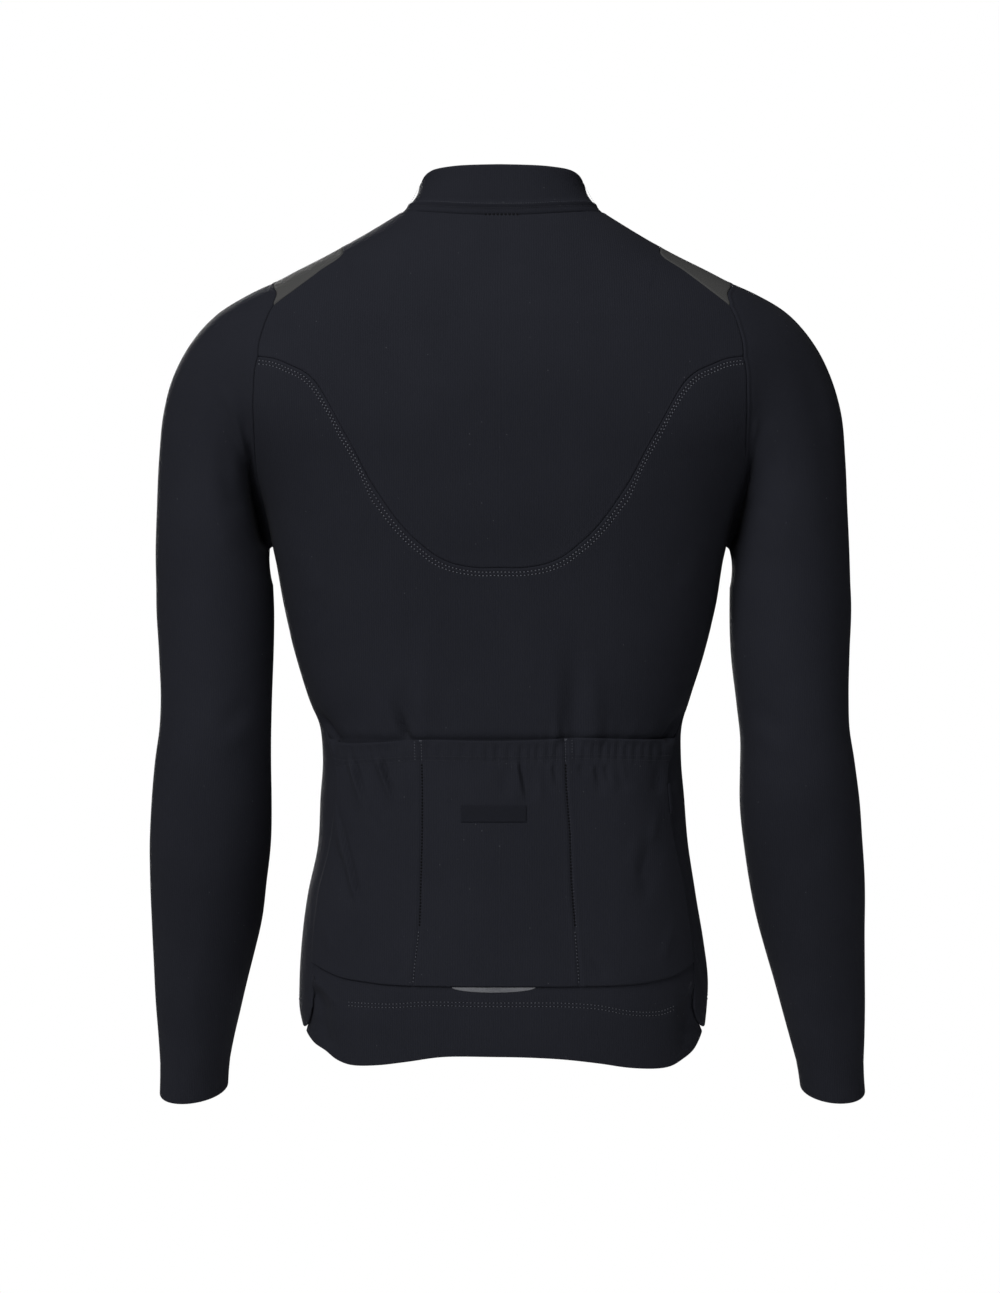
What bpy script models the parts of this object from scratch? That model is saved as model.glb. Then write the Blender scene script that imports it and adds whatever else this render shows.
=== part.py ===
"""A long-sleeved cycling jacket with three back pockets, in the hollow shape that a wearer gives it.

Frame: the wearer's right is +X, their front is +Y, up is +Z. The origin is the middle of the neck,
at the height of the neck seam on the centre back.

The body is one smooth surface, a stack of rings that runs from the neck to the hem and past the
armholes. A point on it is an angle round the body (0 at the centre back, 90 degrees at the side,
180 at the centre front, negative on the wearer's left) and a height. Each cut panel is a grid on that
surface between its seams, and sewn neighbours share the points of their seam.
"""

import math
from collections import namedtuple

import bmesh
import bpy
import numpy as np
from mathutils import Matrix, Vector

MM = 0.001

# ---------------------------------------------------------------- driving sizes, in millimetres
CLOTH = 1.6  # body and sleeve knit
COLLAR_CLOTH = 2.4  # the collar's doubled knit
POCKET_CLOTH = 1.4
TRIM_CLOTH = 1.0  # label, reflective tab and side tab
SEAM_GAP = 0.34  # between two sewn pieces
LAY_GAP = 0.4  # between a piece and the panel it lies on
ROUNDNESS = 2.4  # exponent of the body's rings: 2 is an ellipse

COLLAR_BACK = 41.0  # collar top above the neck seam, centre back
COLLAR_LEFT, COLLAR_RIGHT = 65.0, 68.5  # half widths of the collar's top
COLLAR_TOP_BACK = 44.0  # collar top behind the neck's middle
COLLAR_TOP_FRONT = 53.0  # and in front of it
COLLAR_FLARE = 2.1  # how sharply the collar's foot spreads onto the shoulders
COLLAR_RISE = 1.2  # the same at the front and back of the neck, where it stands nearly straight

ZIP_HALF_WIDTH = 6.0
ZIP_WALL = 1.5
ZIP_CROWN = 0.9  # how far the closed teeth stand over the tape
NECK_FRONT = -75.0  # height of the neck seam at the centre front
FRONT_YOKE_LEVEL = -118.0  # heights at the centre front of three rows that end at the armhole's
FRONT_TACK_LEVEL = -598.0  # upper corner, and at the pockets' foot
FRONT_HEM = -632.0  # height of the hem at the centre front

SHOULDER_APEX = -19.0  # height on the ridge where the shoulder panel starts
ARMHOLE_TOP = -48.5
YOKE_CORNER = -75.0  # height of the armhole corner of yoke and shoulder panel
SEAM_CORNER = -117.0  # height where the yoke's curved seam meets the armhole
ARMPIT = -268.0
POCKET_TOP = -424.0
POCKET_TOP_AT_SEAM = POCKET_TOP + 1
BARTACK = -620.0  # top of the side vent

# The back tail lies this far under the front's corner, and goes there over a drop and a width (degrees).
TUCK_DEPTH = CLOTH + 0.8
TUCK_DROP, TUCK_WIDTH = 12.0, 10.0

# The pockets' fullness: how far they stand off between dividers, and the share of it at their mouth.
POCKET_FULLNESS, POCKET_MOUTH = 1.6, 0.35
DIVIDER_LEFT, DIVIDER_RIGHT = -63.0, 52.0  # across from the centre back

# How many strips each seam is divided into.
NECK_STRIPS = 12  # centre front to the side of the neck
CURVE_STEPS = 24  # between two points of a seam's table, to measure along it
FINE_STRIPS = 400  # to find where a seam meets the zip
FRONT_CROWDING = 1.4  # the front's strips narrow towards its side seam
BACK_STRIPS = 24  # across the back
RIDGE_STRIPS = 3
WEDGE_STRIPS = 6
ARMHOLE_TOP_STRIPS = 3
ARMHOLE_YOKE_STRIPS = 2
ARMHOLE_BACK_STRIPS = 7
SIDE_STRIPS = 8  # armpit to pocket
POCKET_STRIPS = 8
TACK_STRIPS = 1
VENT_STRIPS = 3
COLLAR_STRIPS = 5
CAP_STRIPS = 10
ARM_STRIPS = 14
ARM_COLUMNS = 24

# Rings of the body: half widths on the wearer's left and right, and depths behind and in front of
# the middle.
Section = namedtuple("Section", "height left right back front")
SECTIONS = (
    Section(12, 71, 75, 40, 6),
    Section(2, 87, 90.5, 46, 9),
    Section(-15, 115, 118, 64, 32),
    Section(-30, 142.5, 145, 75, 44),
    Section(-47, 174.5, 178.5, 84, 54),
    Section(-66, 208, 212, 92, 64),
    Section(-82, 228, 231, 98, 72),
    Section(-100, 243, 245, 102, 81),
    Section(-125, 250, 251, 107, 92),
    Section(-150, 245, 245, 110, 101),
    Section(-175, 229, 229, 111, 108),
    Section(-200, 211, 211, 110, 112),
    Section(-232, 195, 195, 108, 115),
    Section(-275, 184.5, 184, 102, 115),
    Section(-315, 177, 177, 97, 111),
    Section(-354, 168, 167, 93, 106),
    Section(-390, 157, 156, 90, 101),
    Section(-415, 147.5, 149, 88, 98),
    Section(-440, 145, 148.5, 88, 97),
    Section(-472, 147, 151, 92, 98),
    Section(-512, 149.5, 154, 97, 101),
    Section(-550, 157, 160, 102, 104),
    Section(-590, 162, 166.5, 107, 106),
    Section(-625, 164, 170, 109, 107),
    Section(-645, 164, 169, 109, 107),
    Section(-665, 160, 167, 108, 106),
    Section(-700, 157, 165, 104, 104),
)

# Seams on the back, as the distance from the centre back and the height.
SeamPoint = namedtuple("SeamPoint", "across height")
NECK_BACK_SEAM = (
    SeamPoint(0, 0),
    SeamPoint(25, 0.5),
    SeamPoint(50, 2.5),
    SeamPoint(67, 4.2),
    SeamPoint(77, 5.2),
)
NECK_FRONT_SEAM = (
    SeamPoint(0, NECK_FRONT),
    SeamPoint(20, -72),
    SeamPoint(42, -63),
    SeamPoint(62, -48),
    SeamPoint(76, -30),
    SeamPoint(84, -12),
)
YOKE_SEAM = (
    SeamPoint(0, -287),
    SeamPoint(18, -287),
    SeamPoint(36, -284),
    SeamPoint(50, -278),
    SeamPoint(62, -269),
    SeamPoint(75, -257),
    SeamPoint(90, -238),
    SeamPoint(106, -213),
    SeamPoint(121, -184),
    SeamPoint(130, -167.5),
    SeamPoint(136, -156.5),
    SeamPoint(142.5, -145.5),
    SeamPoint(149.5, -136.5),
    SeamPoint(157.5, -130),
    SeamPoint(168, -125),
    SeamPoint(181, -119.5),
    SeamPoint(195, SEAM_CORNER),
)
WEDGE_BACK_EDGE = (
    SeamPoint(130, -31),
    SeamPoint(149, -46),
    SeamPoint(169, -62),
    SeamPoint(185, YOKE_CORNER),
)
WEDGE_FRONT_EDGE = (
    SeamPoint(128, -31),
    SeamPoint(147, -46),
    SeamPoint(166, -62),
    SeamPoint(181, YOKE_CORNER),
)
ARMHOLE_BACK = (
    SeamPoint(185, YOKE_CORNER),
    SeamPoint(192, -94),
    SeamPoint(195, SEAM_CORNER),
    SeamPoint(198, -149),
    SeamPoint(198, -178),
    SeamPoint(197.5, -200),
    SeamPoint(195.5, -218),
    SeamPoint(192, -236),
    SeamPoint(188.5, -252),
)
ARMHOLE_FRONT = (
    SeamPoint(181, YOKE_CORNER),
    SeamPoint(182, -103),
    SeamPoint(180, -131),
    SeamPoint(179, -165),
    SeamPoint(180, -197),
    SeamPoint(183, -226),
    SeamPoint(186, -250),
)

# The side seam: how far it lies behind the widest line of the body.
SideSeam = namedtuple("SideSeam", "height inset")
SIDE_SEAM = (
    SideSeam(ARMPIT, 0),
    SideSeam(-330, 0),
    SideSeam(-400, 0.5),
    SideSeam(-422, 5),
    SideSeam(-434, 9),
    SideSeam(-448, 13),
    SideSeam(-480, 15),
    SideSeam(-510, 12.5),
    SideSeam(-540, 10.5),
    SideSeam(-575, 11),
    SideSeam(BARTACK, 13),
    SideSeam(-645, 13.5),
)

# Level edges: their height at a share of the half width, on the wearer's left and right.
EdgePoint = namedtuple("EdgePoint", "share left right")
POCKET_TOP_EDGE = (
    EdgePoint(0, POCKET_TOP, POCKET_TOP),
    EdgePoint(0.43, -423, -422),
    EdgePoint(0.66, -425, -423),
    EdgePoint(0.86, -426, -424),
    EdgePoint(0.97, -422, -423),
)
POCKET_BOTTOM_EDGE = (
    EdgePoint(0, -619, -619),
    EdgePoint(0.5, -618.5, -619),
    EdgePoint(0.65, -616.5, -618),
    EdgePoint(0.75, -614.5, -615.5),
    EdgePoint(0.83, -610.5, -612),
    EdgePoint(0.92, -603.5, -603.5),
)
POCKET_FOOT_AT_SEAM = POCKET_BOTTOM_EDGE[-1].left
TAIL_HEM = (
    EdgePoint(0, -675, -675),
    EdgePoint(0.27, -675, -677),
    EdgePoint(0.46, -679.5, -681),
    EdgePoint(0.61, -683, -685.5),
    EdgePoint(0.74, -684, -687.5),
    EdgePoint(0.82, -680.5, -686.5),
    EdgePoint(0.88, -674, -682),
    EdgePoint(0.94, -669, -675),
    EdgePoint(0.98, -661, -662),
)

# The front's hem: its height at an angle round the body.
HemPoint = namedtuple("HemPoint", "angle height")
FRONT_HEM_EDGE = (
    HemPoint(180, FRONT_HEM),
    HemPoint(150, -636),
    HemPoint(120, -647),
    HemPoint(100, -656),
    HemPoint(90, -659),
    HemPoint(80, -658.5),
    HemPoint(73, -655),
    HemPoint(68, -648),
    HemPoint(65.5, -640),
)

# The tail's own edge under the front's corner, below the bartack.
VENT_EDGE = (HemPoint(73, -645), HemPoint(79, -661.5))

# Height of the collar's top at an angle round the neck.
COLLAR_TOP = (
    HemPoint(0, COLLAR_BACK),
    HemPoint(35, 40),
    HemPoint(60, 37.5),
    HemPoint(90, 28),
    HemPoint(125, 2),
    HemPoint(155, -20),
    HemPoint(180, -32),
)

# The neck's own middle and size, to read an angle round it.
NECK_MIDDLE_Y, NECK_HALF_WIDTH, NECK_HALF_DEPTH = 6.0, 78.0, 56.0

# Folds in the back, drawn up by the pocket's dividers and corners: a ridge is high, a trough is low.
Fold = namedtuple("Fold", "x0 z0 x1 z1 width height")
FOLD_GROWTH = 0.8  # a fold grows to its full height over this share of its length
FOLDS = (
    Fold(-58, -300, -62, -421, 10, 2.2),
    Fold(-84, -372, -74, -421, 7, -2.6),
    Fold(-100, -385, -92, -421, 7, 1.2),
    Fold(58, -318, 59, -421, 9, -2.8),
    Fold(74, -345, 75, -421, 8, 1.8),
    Fold(42, -350, 44, -421, 7, 1.2),
    Fold(-150, -398, -133, -424, 6, -2.4),
    Fold(150, -395, 130, -424, 6, -2.4),
)
POCKET_FOLDS = (
    Fold(-126, -452, -116, -482, 5, -1.3),
    Fold(-105, -440, -93, -482, 6, -1.5),
    Fold(-134, -480, -120, -550, 6, -1.6),
    Fold(-80, -440, -78, -470, 6, 1.0),
    Fold(2, -442, 4, -462, 5, -1.1),
    Fold(22, -442, 24, -468, 5, -1.3),
    Fold(38, -442, 40, -460, 5, -1.0),
    Fold(78, -442, 79, -462, 5, -1.2),
    Fold(94, -442, 96, -462, 5, -1.2),
    Fold(126, -500, 114, -545, 7, -1.5),
)

# Rings of the arms, from the upper arm to the cuff: where the middle is, and the half widths.
# lean lowers the outer edge of the ring by that share of its width.
ArmRing = namedtuple(
    "ArmRing", "height left_x left_half right_x right_half forward half_depth lean"
)
ARM_RINGS = (
    ArmRing(-300, 233.7, 47.7, 237.5, 49.5, -3.3, 54.7, 0),
    ArmRing(-315, 233.3, 48.0, 237.8, 49.8, -4, 54, 0),
    ArmRing(-354, 232.0, 46.7, 237.4, 48.6, -7, 51, 0),
    ArmRing(-394, 231.6, 45.5, 239.0, 45.7, -10, 48, 0),
    ArmRing(-420, 232.6, 45.8, 240.8, 44.6, -11, 47, 0),
    ArmRing(-446, 234.6, 47.6, 243.0, 46.8, -9, 47, 0),
    ArmRing(-475, 236.2, 49.2, 245.3, 48.8, -4, 47, 0),
    ArmRing(-512, 238.0, 49.5, 249.2, 48.6, 6, 46, 0),
    ArmRing(-540, 240.0, 47.9, 252.9, 47.5, 15, 44, 0),
    ArmRing(-566, 241.9, 46.2, 256.5, 45.4, 24, 42, 0),
    ArmRing(-593, 245.0, 43.0, 260.6, 41.9, 33, 39, 0),
    ArmRing(-620, 248.0, 39.4, 264.8, 38.4, 42, 36, 0.02),
    ArmRing(-648, 251.0, 35.6, 269.3, 34.9, 52, 33, 0.05),
    ArmRing(-675, 253.7, 31.8, 273.2, 31.3, 61, 30.5, 0.09),
    ArmRing(-703, 256.0, 28.9, 277.0, 27.8, 71, 28.5, 0.14),
    ArmRing(-721, 257.2, 28.5, 279.2, 27.2, 77.5, 28, 0.18),
)

# The shoulder's outer line, from the top of the armhole down to the upper arm.
ShoulderPoint = namedtuple("ShoulderPoint", "height left right")
SHOULDER_LINE = (
    ShoulderPoint(-59, 200, 205),
    ShoulderPoint(-79, 233.5, 238),
    ShoulderPoint(-105, 255.5, 259),
    ShoulderPoint(-131, 268.5, 271.5),
    ShoulderPoint(-157, 275.5, 279),
    ShoulderPoint(-197, 279.5, 283),
    ShoulderPoint(-236, 281, 284.5),
    ShoulderPoint(-270, 281.7, 286),
    ShoulderPoint(-300, 281.4, 287),
)
WEDGE_TIP = 0.16  # the shoulder panel's point is cut off this far along its first strip
RIDGE_RISE = 1.5  # how late the panel's rows take the armhole's curve: 1 is evenly

# A sleeve column leaves the armhole along the body and meets the upper arm along the arm.
CAP_HANDLE = 0.42  # reach of its first tangent, as a share of its chord
ARM_HANDLE = 0.36  # and of its last one
ARMPIT_HANDLE = 5.0  # reach of the first tangent under the arm
ARMPIT_ROUND = 0.75  # how far the tangent there turns outwards
ARMPIT_OUT = (0.9, 0.42)  # to the side and up
ARMPIT_SPREAD = 3.5
RIM_ORDER = (0.62, 0.35, 0.7)  # rims split from their end that is lower along this
ARM_STEP = 4.0  # half the step along the arm that gives its direction

# Trim on the pockets
LABEL_LEFT, LABEL_RIGHT = -31.0, 21.0
LABEL_TOP, LABEL_BOTTOM = -476.0, -489.0
LABEL_REACH = 26.0  # it stands over the pocket's highest point this far round it
TAB_LEFT, TAB_RIGHT = -38.0, 28.0  # the reflective tab under the pockets
TAB_DROP, TAB_END = 4.2, 0.14  # its depth, and its ends' depth as a share of that
SIDE_TAB_TOP, SIDE_TAB_BOTTOM = -460.0, -484.0
SIDE_TAB_WIDTH = 3.4
SIDE_TAB_STAND = 0.5  # over the pocket's edge

# The zip's slider and pull
SLIDER_HEIGHT = -47.0  # height of the pull's pivot
SLIDER_WIDTH, SLIDER_LENGTH, SLIDER_THICK = 8.0, 11.0, 2.8
LUG_WIDTH, LUG_GAP, LUG_DEPTH = 1.2, 3.8, 3.4
PIN_RADIUS, EYE_RADIUS, BARREL_RADIUS = 0.8, 1.15, 2.0
PULL_WIDTH, PULL_LENGTH, PULL_THICK = 5.4, 23.0, 1.6
PULL_PLAY = 0.4  # between the barrel and each lug, and nearly that to the slider
NECK_LENGTH = 5.0  # of the narrow stretch between the barrel and the pull
SIDES = {"left": -1, "right": 1}


# ---------------------------------------------------------------- curves and surfaces
def column(table, name):
    return np.array([getattr(row, name) for row in table], float)


def smooth(knots, values, at):
    """A cubic curve through the values, with the slope at each knot taken from its neighbours."""
    order = np.argsort(knots)
    knots, values = np.asarray(knots, float)[order], np.asarray(values, float)[order]
    slopes = np.gradient(values, knots)
    at = np.clip(np.asarray(at, float), knots[0], knots[-1])
    i = np.clip(np.searchsorted(knots, at) - 1, 0, len(knots) - 2)
    step = knots[i + 1] - knots[i]
    t = (at - knots[i]) / step
    return (
        (1 + 2 * t) * (1 - t) ** 2 * values[i]
        + t * (1 - t) ** 2 * step * slopes[i]
        + t * t * (3 - 2 * t) * values[i + 1]
        + t * t * (t - 1) * step * slopes[i + 1]
    )


def ease(start, end, at):
    """0 before start, 1 after end, and smooth between them."""
    t = np.clip((np.asarray(at, float) - start) / (end - start), 0, 1)
    return t * t * (3 - 2 * t)


def unit(vectors):
    length = np.linalg.norm(vectors, axis=-1, keepdims=True)
    return vectors / np.maximum(length, 1e-9)


def half_width(height, side):
    return smooth(column(SECTIONS, "height"), column(SECTIONS, side), height)


def bare_body(angle, height):
    """A point of the body's smooth surface. angle is in degrees."""
    turn = np.radians(angle)
    sine, cosine = np.sin(turn), np.cos(turn)
    heights = column(SECTIONS, "height")
    power = 2 / ROUNDNESS
    wide = np.where(
        sine < 0, half_width(height, "left"), half_width(height, "right")
    )
    deep = np.where(
        cosine > 0,
        smooth(heights, column(SECTIONS, "back"), height),
        smooth(heights, column(SECTIONS, "front"), height),
    )
    x = wide * np.sign(sine) * np.abs(sine) ** power
    y = -deep * np.sign(cosine) * np.abs(cosine) ** power
    return np.stack(np.broadcast_arrays(x, y, height), axis=-1).astype(float)


def body_normal(angle, height):
    """The surface's outward direction, from two short steps on it."""
    step_angle, step_height = 0.6, 1.0
    round_it = bare_body(angle + step_angle, height) - bare_body(
        angle - step_angle, height
    )
    up = bare_body(angle, height + step_height) - bare_body(angle, height - step_height)
    return unit(np.cross(round_it, up))


def fold_height(folds, points):
    """How far the folds lift the points, seen from the back."""
    lift = np.zeros(points.shape[:-1])
    for fold in folds:
        start, end = np.array([fold.x0, fold.z0]), np.array([fold.x1, fold.z1])
        along = (points[..., [0, 2]] - start) @ (end - start)
        along = np.clip(along / np.sum((end - start) ** 2), 0, 1)
        nearest = start + along[..., None] * (end - start)
        away = np.linalg.norm(points[..., [0, 2]] - nearest, axis=-1)
        growth = ease(0, FOLD_GROWTH, along)
        lift += fold.height * growth * np.exp(-((away / fold.width) ** 2))
    return np.where(points[..., 1] < 0, lift, 0)


def body(angle, height, lift=0.0):
    """A point of the jacket's outer face, moved out by lift."""
    points = bare_body(angle, height)
    rise = fold_height(FOLDS, points) + lift
    return points + body_normal(angle, height) * np.asarray(rise)[..., None]


def angle_at(across, height, front=False):
    """The angle of a point that lies this far to the side at this height."""
    wide = half_width(height, "left" if np.any(np.asarray(across) < 0) else "right")
    share = np.clip(np.abs(across) / wide, 0, 1) ** (ROUNDNESS / 2)
    turn = np.degrees(np.arcsin(share))
    return np.sign(across) * (180 - turn if front else turn)


# ---------------------------------------------------------------- seams
def evenly(route, strips, crowding=1.0):
    """Points along a route of (angle, height) rows, ends included.

    They are at even distances, or closer together towards the end where crowding is over 1.
    """
    route = np.asarray(route, float)
    dense = np.linspace(0, len(route) - 1, CURVE_STEPS * (len(route) - 1) + 1)
    knots = np.arange(len(route))
    fine = np.stack([smooth(knots, route[:, k], dense) for k in (0, 1)], axis=1)
    steps = np.linalg.norm(np.diff(bare_body(fine[:, 0], fine[:, 1]), axis=0), axis=1)
    along = np.concatenate([[0], np.cumsum(steps)])
    at = along[-1] * (1 - (1 - np.linspace(0, 1, strips + 1)) ** crowding)
    return np.stack([np.interp(at, along, fine[:, k]) for k in (0, 1)], axis=1)


def seam_route(table, front=False):
    """A table of seam points on the wearer's right, as (angle, height) rows."""
    return [
        (float(angle_at(max(p.across, 1e-6), p.height, front)), p.height) for p in table
    ]


def joined(*pieces):
    """Routes end to end, with each shared point kept once."""
    return np.concatenate([pieces[0], *[piece[1:] for piece in pieces[1:]]])


def mirrored(route, side):
    """The route on the wearer's left or right. Its shares of the body's width stay the same."""
    return np.asarray(route, float) * [SIDES[side], 1]


# Points of the seams as (angle, height)
NECK_SIDE = (90.0, 5.5)
RIDGE_MIDDLE = (90.0, -8.0)
APEX = (90.0, SHOULDER_APEX)
SHOULDER_TOP = (90.0, ARMHOLE_TOP)
SHOULDER_BEHIND = (61.5, -62.0)
SHOULDER_BEFORE = (119.0, -61.0)
ARMPIT_POINT = (90.0, ARMPIT)


def side_seam_point(height):
    inset = smooth(column(SIDE_SEAM, "height"), column(SIDE_SEAM, "inset"), height)
    wide = half_width(height, "right")
    return float(angle_at(wide - inset, height)), height


def side_route(top, bottom, strips):
    return np.array([side_seam_point(h) for h in np.linspace(top, bottom, strips + 1)])


def half_seams():
    """Every seam that a panel's side edge follows, on the wearer's right."""
    back_corner = seam_route(ARMHOLE_BACK)
    front_corner = seam_route(ARMHOLE_FRONT, front=True)
    yoke_end = [p.height for p in ARMHOLE_BACK].index(SEAM_CORNER)
    wedge_back = [APEX, *seam_route(WEDGE_BACK_EDGE)]
    wedge_front = [APEX, *seam_route(WEDGE_FRONT_EDGE, front=True)]
    return {
        "ridge": evenly([NECK_SIDE, RIDGE_MIDDLE, APEX], RIDGE_STRIPS),
        "wedge_back": evenly(wedge_back, WEDGE_STRIPS),
        "wedge_front": evenly(wedge_front, WEDGE_STRIPS),
        "top_back": evenly(
            [SHOULDER_TOP, SHOULDER_BEHIND, back_corner[0]], ARMHOLE_TOP_STRIPS
        ),
        "top_front": evenly(
            [SHOULDER_TOP, SHOULDER_BEFORE, front_corner[0]], ARMHOLE_TOP_STRIPS
        ),
        "armhole_yoke": evenly(back_corner[: yoke_end + 1], ARMHOLE_YOKE_STRIPS),
        "armhole_back": evenly(
            [*back_corner[yoke_end:], ARMPIT_POINT], ARMHOLE_BACK_STRIPS
        ),
        "armhole_front": evenly(
            [*front_corner, ARMPIT_POINT], ARMHOLE_YOKE_STRIPS + ARMHOLE_BACK_STRIPS
        ),
        "side": side_route(ARMPIT, POCKET_TOP_AT_SEAM, SIDE_STRIPS),
        "pocket_side": side_route(POCKET_TOP_AT_SEAM, POCKET_FOOT_AT_SEAM, POCKET_STRIPS),
        "tack": side_route(POCKET_FOOT_AT_SEAM, BARTACK, TACK_STRIPS),
    }


def level_route(table, reach):
    """A level edge from the left side seam to the right one, as (angle, height) rows.

    reach is the angle of its ends.
    """
    rows = []
    for side in ("left", "right"):
        share = column(table, "share")
        height = column(table, side)
        turn = np.degrees(np.arcsin(np.clip(share, 0, 1) ** (ROUNDNESS / 2)))
        turn = turn * reach / turn[-1]
        half = np.stack([turn, height], axis=1)
        rows.append(mirrored(half, side))
    return joined(rows[0][::-1], rows[1])


def across_back(half):
    """A seam given on the right, from its left end over the centre back to its right end."""
    half = np.asarray(half, float)
    return joined(mirrored(half[::-1], "left"), half)


# ---------------------------------------------------------------- panels
def patch(cross, left, right):
    """A grid of (angle, height) between its two side edges and its level rows.

    cross maps a row's number to that row's points. Rows between two of them are blends, moved to
    meet the side edges.
    """
    rows = sorted(cross)
    columns = len(cross[rows[0]])
    share = np.linspace(0, 1, columns)[:, None]
    grid = np.zeros((rows[-1] + 1, columns, 2))
    for top, bottom in zip(rows, rows[1:]):
        for row in range(top, bottom + 1):
            t = (row - top) / (bottom - top)
            line = (1 - t) * cross[top] + t * cross[bottom]
            line = line + (1 - share) * (left[row] - line[0])
            grid[row] = line + share * (right[row] - line[-1])
    return grid


def trimmed(outer, inner, gap, closed=False):
    """The two faces of a panel, with every edge drawn back by gap within the surface."""
    outer, inner = outer.copy(), inner.copy()
    shift = np.zeros_like(outer)

    def draw_back(edge, beside):
        """edge and beside are rows of points: the edge, and the line of the grid next to it."""
        if closed:
            tangent = unit(np.roll(edge, -1, 0) - np.roll(edge, 1, 0))
        else:
            tangent = unit(np.gradient(edge, axis=0))
        inward = beside - edge
        inward = inward - np.sum(inward * tangent, axis=1, keepdims=True) * tangent
        return unit(inward) * gap

    shift[0] += draw_back(outer[0], outer[1])
    shift[-1] += draw_back(outer[-1], outer[-2])
    if not closed:
        shift[:, 0] += draw_back(outer[:, 0], outer[:, 1])
        shift[:, -1] += draw_back(outer[:, -1], outer[:, -2])
    return outer + shift, inner + shift


def split_other_way(a, b, c, d):
    """Whether the four corners lie flatter when split from b to d than from a to c."""
    first = unit(np.cross(b - a, c - a)) @ unit(np.cross(c - a, d - a))
    second = unit(np.cross(c - b, d - b)) @ unit(np.cross(d - b, a - b))
    return second > first


def wall(name, outer, inner, material, closed=False, surface=None):
    """A cloth wall: a loft from the panel's outer face to its inner one, closed round its rim.

    Pieces that lie on each other give the same surface, so that their quads split alike.
    """
    rows, columns = outer.shape[:2]
    count = rows * columns
    points = np.concatenate([outer.reshape(-1, 3), inner.reshape(-1, 3)])
    corners_at = points if surface is None else surface.reshape(-1, 3)
    mesh = bmesh.new()
    verts = [mesh.verts.new(Vector(point) * MM) for point in points]

    def quad(a, b, c, d):
        """Two triangles that meet on the line from a to c."""
        mesh.faces.new([verts[a], verts[b], verts[c]])
        mesh.faces.new([verts[a], verts[c], verts[d]])

    ring = columns if closed else columns - 1
    for row in range(rows - 1):
        for i in range(ring):
            j = (i + 1) % columns
            a, b = row * columns + i, row * columns + j
            c, d = b + columns, a + columns
            if split_other_way(*corners_at[[a, b, c, d]]):
                a, b, c, d = b, c, d, a
            quad(a, b, c, d)
            quad(*(k + count for k in (a, d, c, b)))
    rims = [list(range(columns)), list(range((rows - 1) * columns, count))]
    if closed:
        rims = [line + line[:1] for line in rims]
    else:
        rims.append(list(range(0, count, columns)))
        rims.append(list(range(columns - 1, count, columns)))
    for line in rims:
        for a, b in zip(line, line[1:]):
            if points[a] @ RIM_ORDER > points[b] @ RIM_ORDER:
                a, b = b, a
            quad(a, a + count, b + count, b)
    bmesh.ops.recalc_face_normals(mesh, faces=mesh.faces)
    return add_mesh(name, mesh, material)


def cloth_panel(name, grid, material, lift=0.0, thickness=CLOTH):
    """A panel on the body's surface. lift may differ from point to point."""
    angle, height = grid[..., 0], grid[..., 1]
    outer = body(angle, height, lift)
    inner = outer - body_normal(angle, height) * thickness
    faces = trimmed(outer, inner, SEAM_GAP / 2)
    return wall(name, *faces, material, surface=bare_body(angle, height))


# ---------------------------------------------------------------- Blender objects
def new_collection(name):
    made = bpy.data.collections.new(name)
    bpy.context.scene.collection.children.link(made)
    return made


def new_material(name, colour, roughness, metallic=0.0):
    material = bpy.data.materials.new(name)
    material.use_nodes = True
    shader = material.node_tree.nodes["Principled BSDF"]
    shader.inputs["Base Color"].default_value = (*colour, 1)
    shader.inputs["Roughness"].default_value = roughness
    shader.inputs["Metallic"].default_value = metallic
    return material


def add_mesh(name, source, material):
    """A finished bmesh as an object of the jacket."""
    data = bpy.data.meshes.new(name)
    source.to_mesh(data)
    source.free()
    data.materials.append(material)
    obj = bpy.data.objects.new(name, data)
    jacket.objects.link(obj)
    data.shade_smooth()
    data.set_sharp_from_angle(angle=math.radians(50))
    return obj


def primitive(name, add, material=None, **settings):
    """A Blender primitive, in the jacket's collection if it has a material, or else a tool."""
    add(**settings)
    obj = bpy.context.object
    obj.name = obj.data.name = name
    bpy.context.view_layer.update()
    obj.data.transform(obj.matrix_basis)
    obj.matrix_basis = Matrix()
    for collection in list(obj.users_collection):
        collection.objects.unlink(obj)
    if material:
        obj.data.materials.append(material)
        jacket.objects.link(obj)
    else:
        tools.objects.link(obj)
        obj.hide_render = True
        obj.display_type = "WIRE"
    return obj


def combine(obj, tool, operation):
    change = obj.modifiers.new(tool.name, "BOOLEAN")
    change.object = tool
    change.operation = operation
    change.solver = "EXACT"


def box(name, centre, size, material=None, bevel=0.0):
    obj = primitive(
        name,
        bpy.ops.mesh.primitive_cube_add,
        material,
        size=MM,
        location=Vector(centre) * MM,
        scale=size,
    )
    if bevel:
        rounding = obj.modifiers.new("rounding", "BEVEL")
        rounding.width = bevel * MM
        rounding.segments = 2
    return obj


def rod(name, centre, radius, length, material=None, sides=20):
    """A cylinder along X."""
    return primitive(
        name,
        bpy.ops.mesh.primitive_cylinder_add,
        material,
        vertices=sides,
        radius=radius * MM,
        depth=length * MM,
        location=Vector(centre) * MM,
        rotation=(0, math.pi / 2, 0),
    )


# ---------------------------------------------------------------- the pieces
def tail_tuck(grid):
    """The tail's edge goes under the front's corner below the vent's bartack."""
    angle, height = np.abs(grid[..., 0]), grid[..., 1]
    edge = side_seam_point(BARTACK)[0] - TUCK_WIDTH / 3
    fall = ease(BARTACK, BARTACK - TUCK_DROP, height)
    return -TUCK_DEPTH * fall * ease(edge - TUCK_WIDTH, edge, angle)


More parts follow.
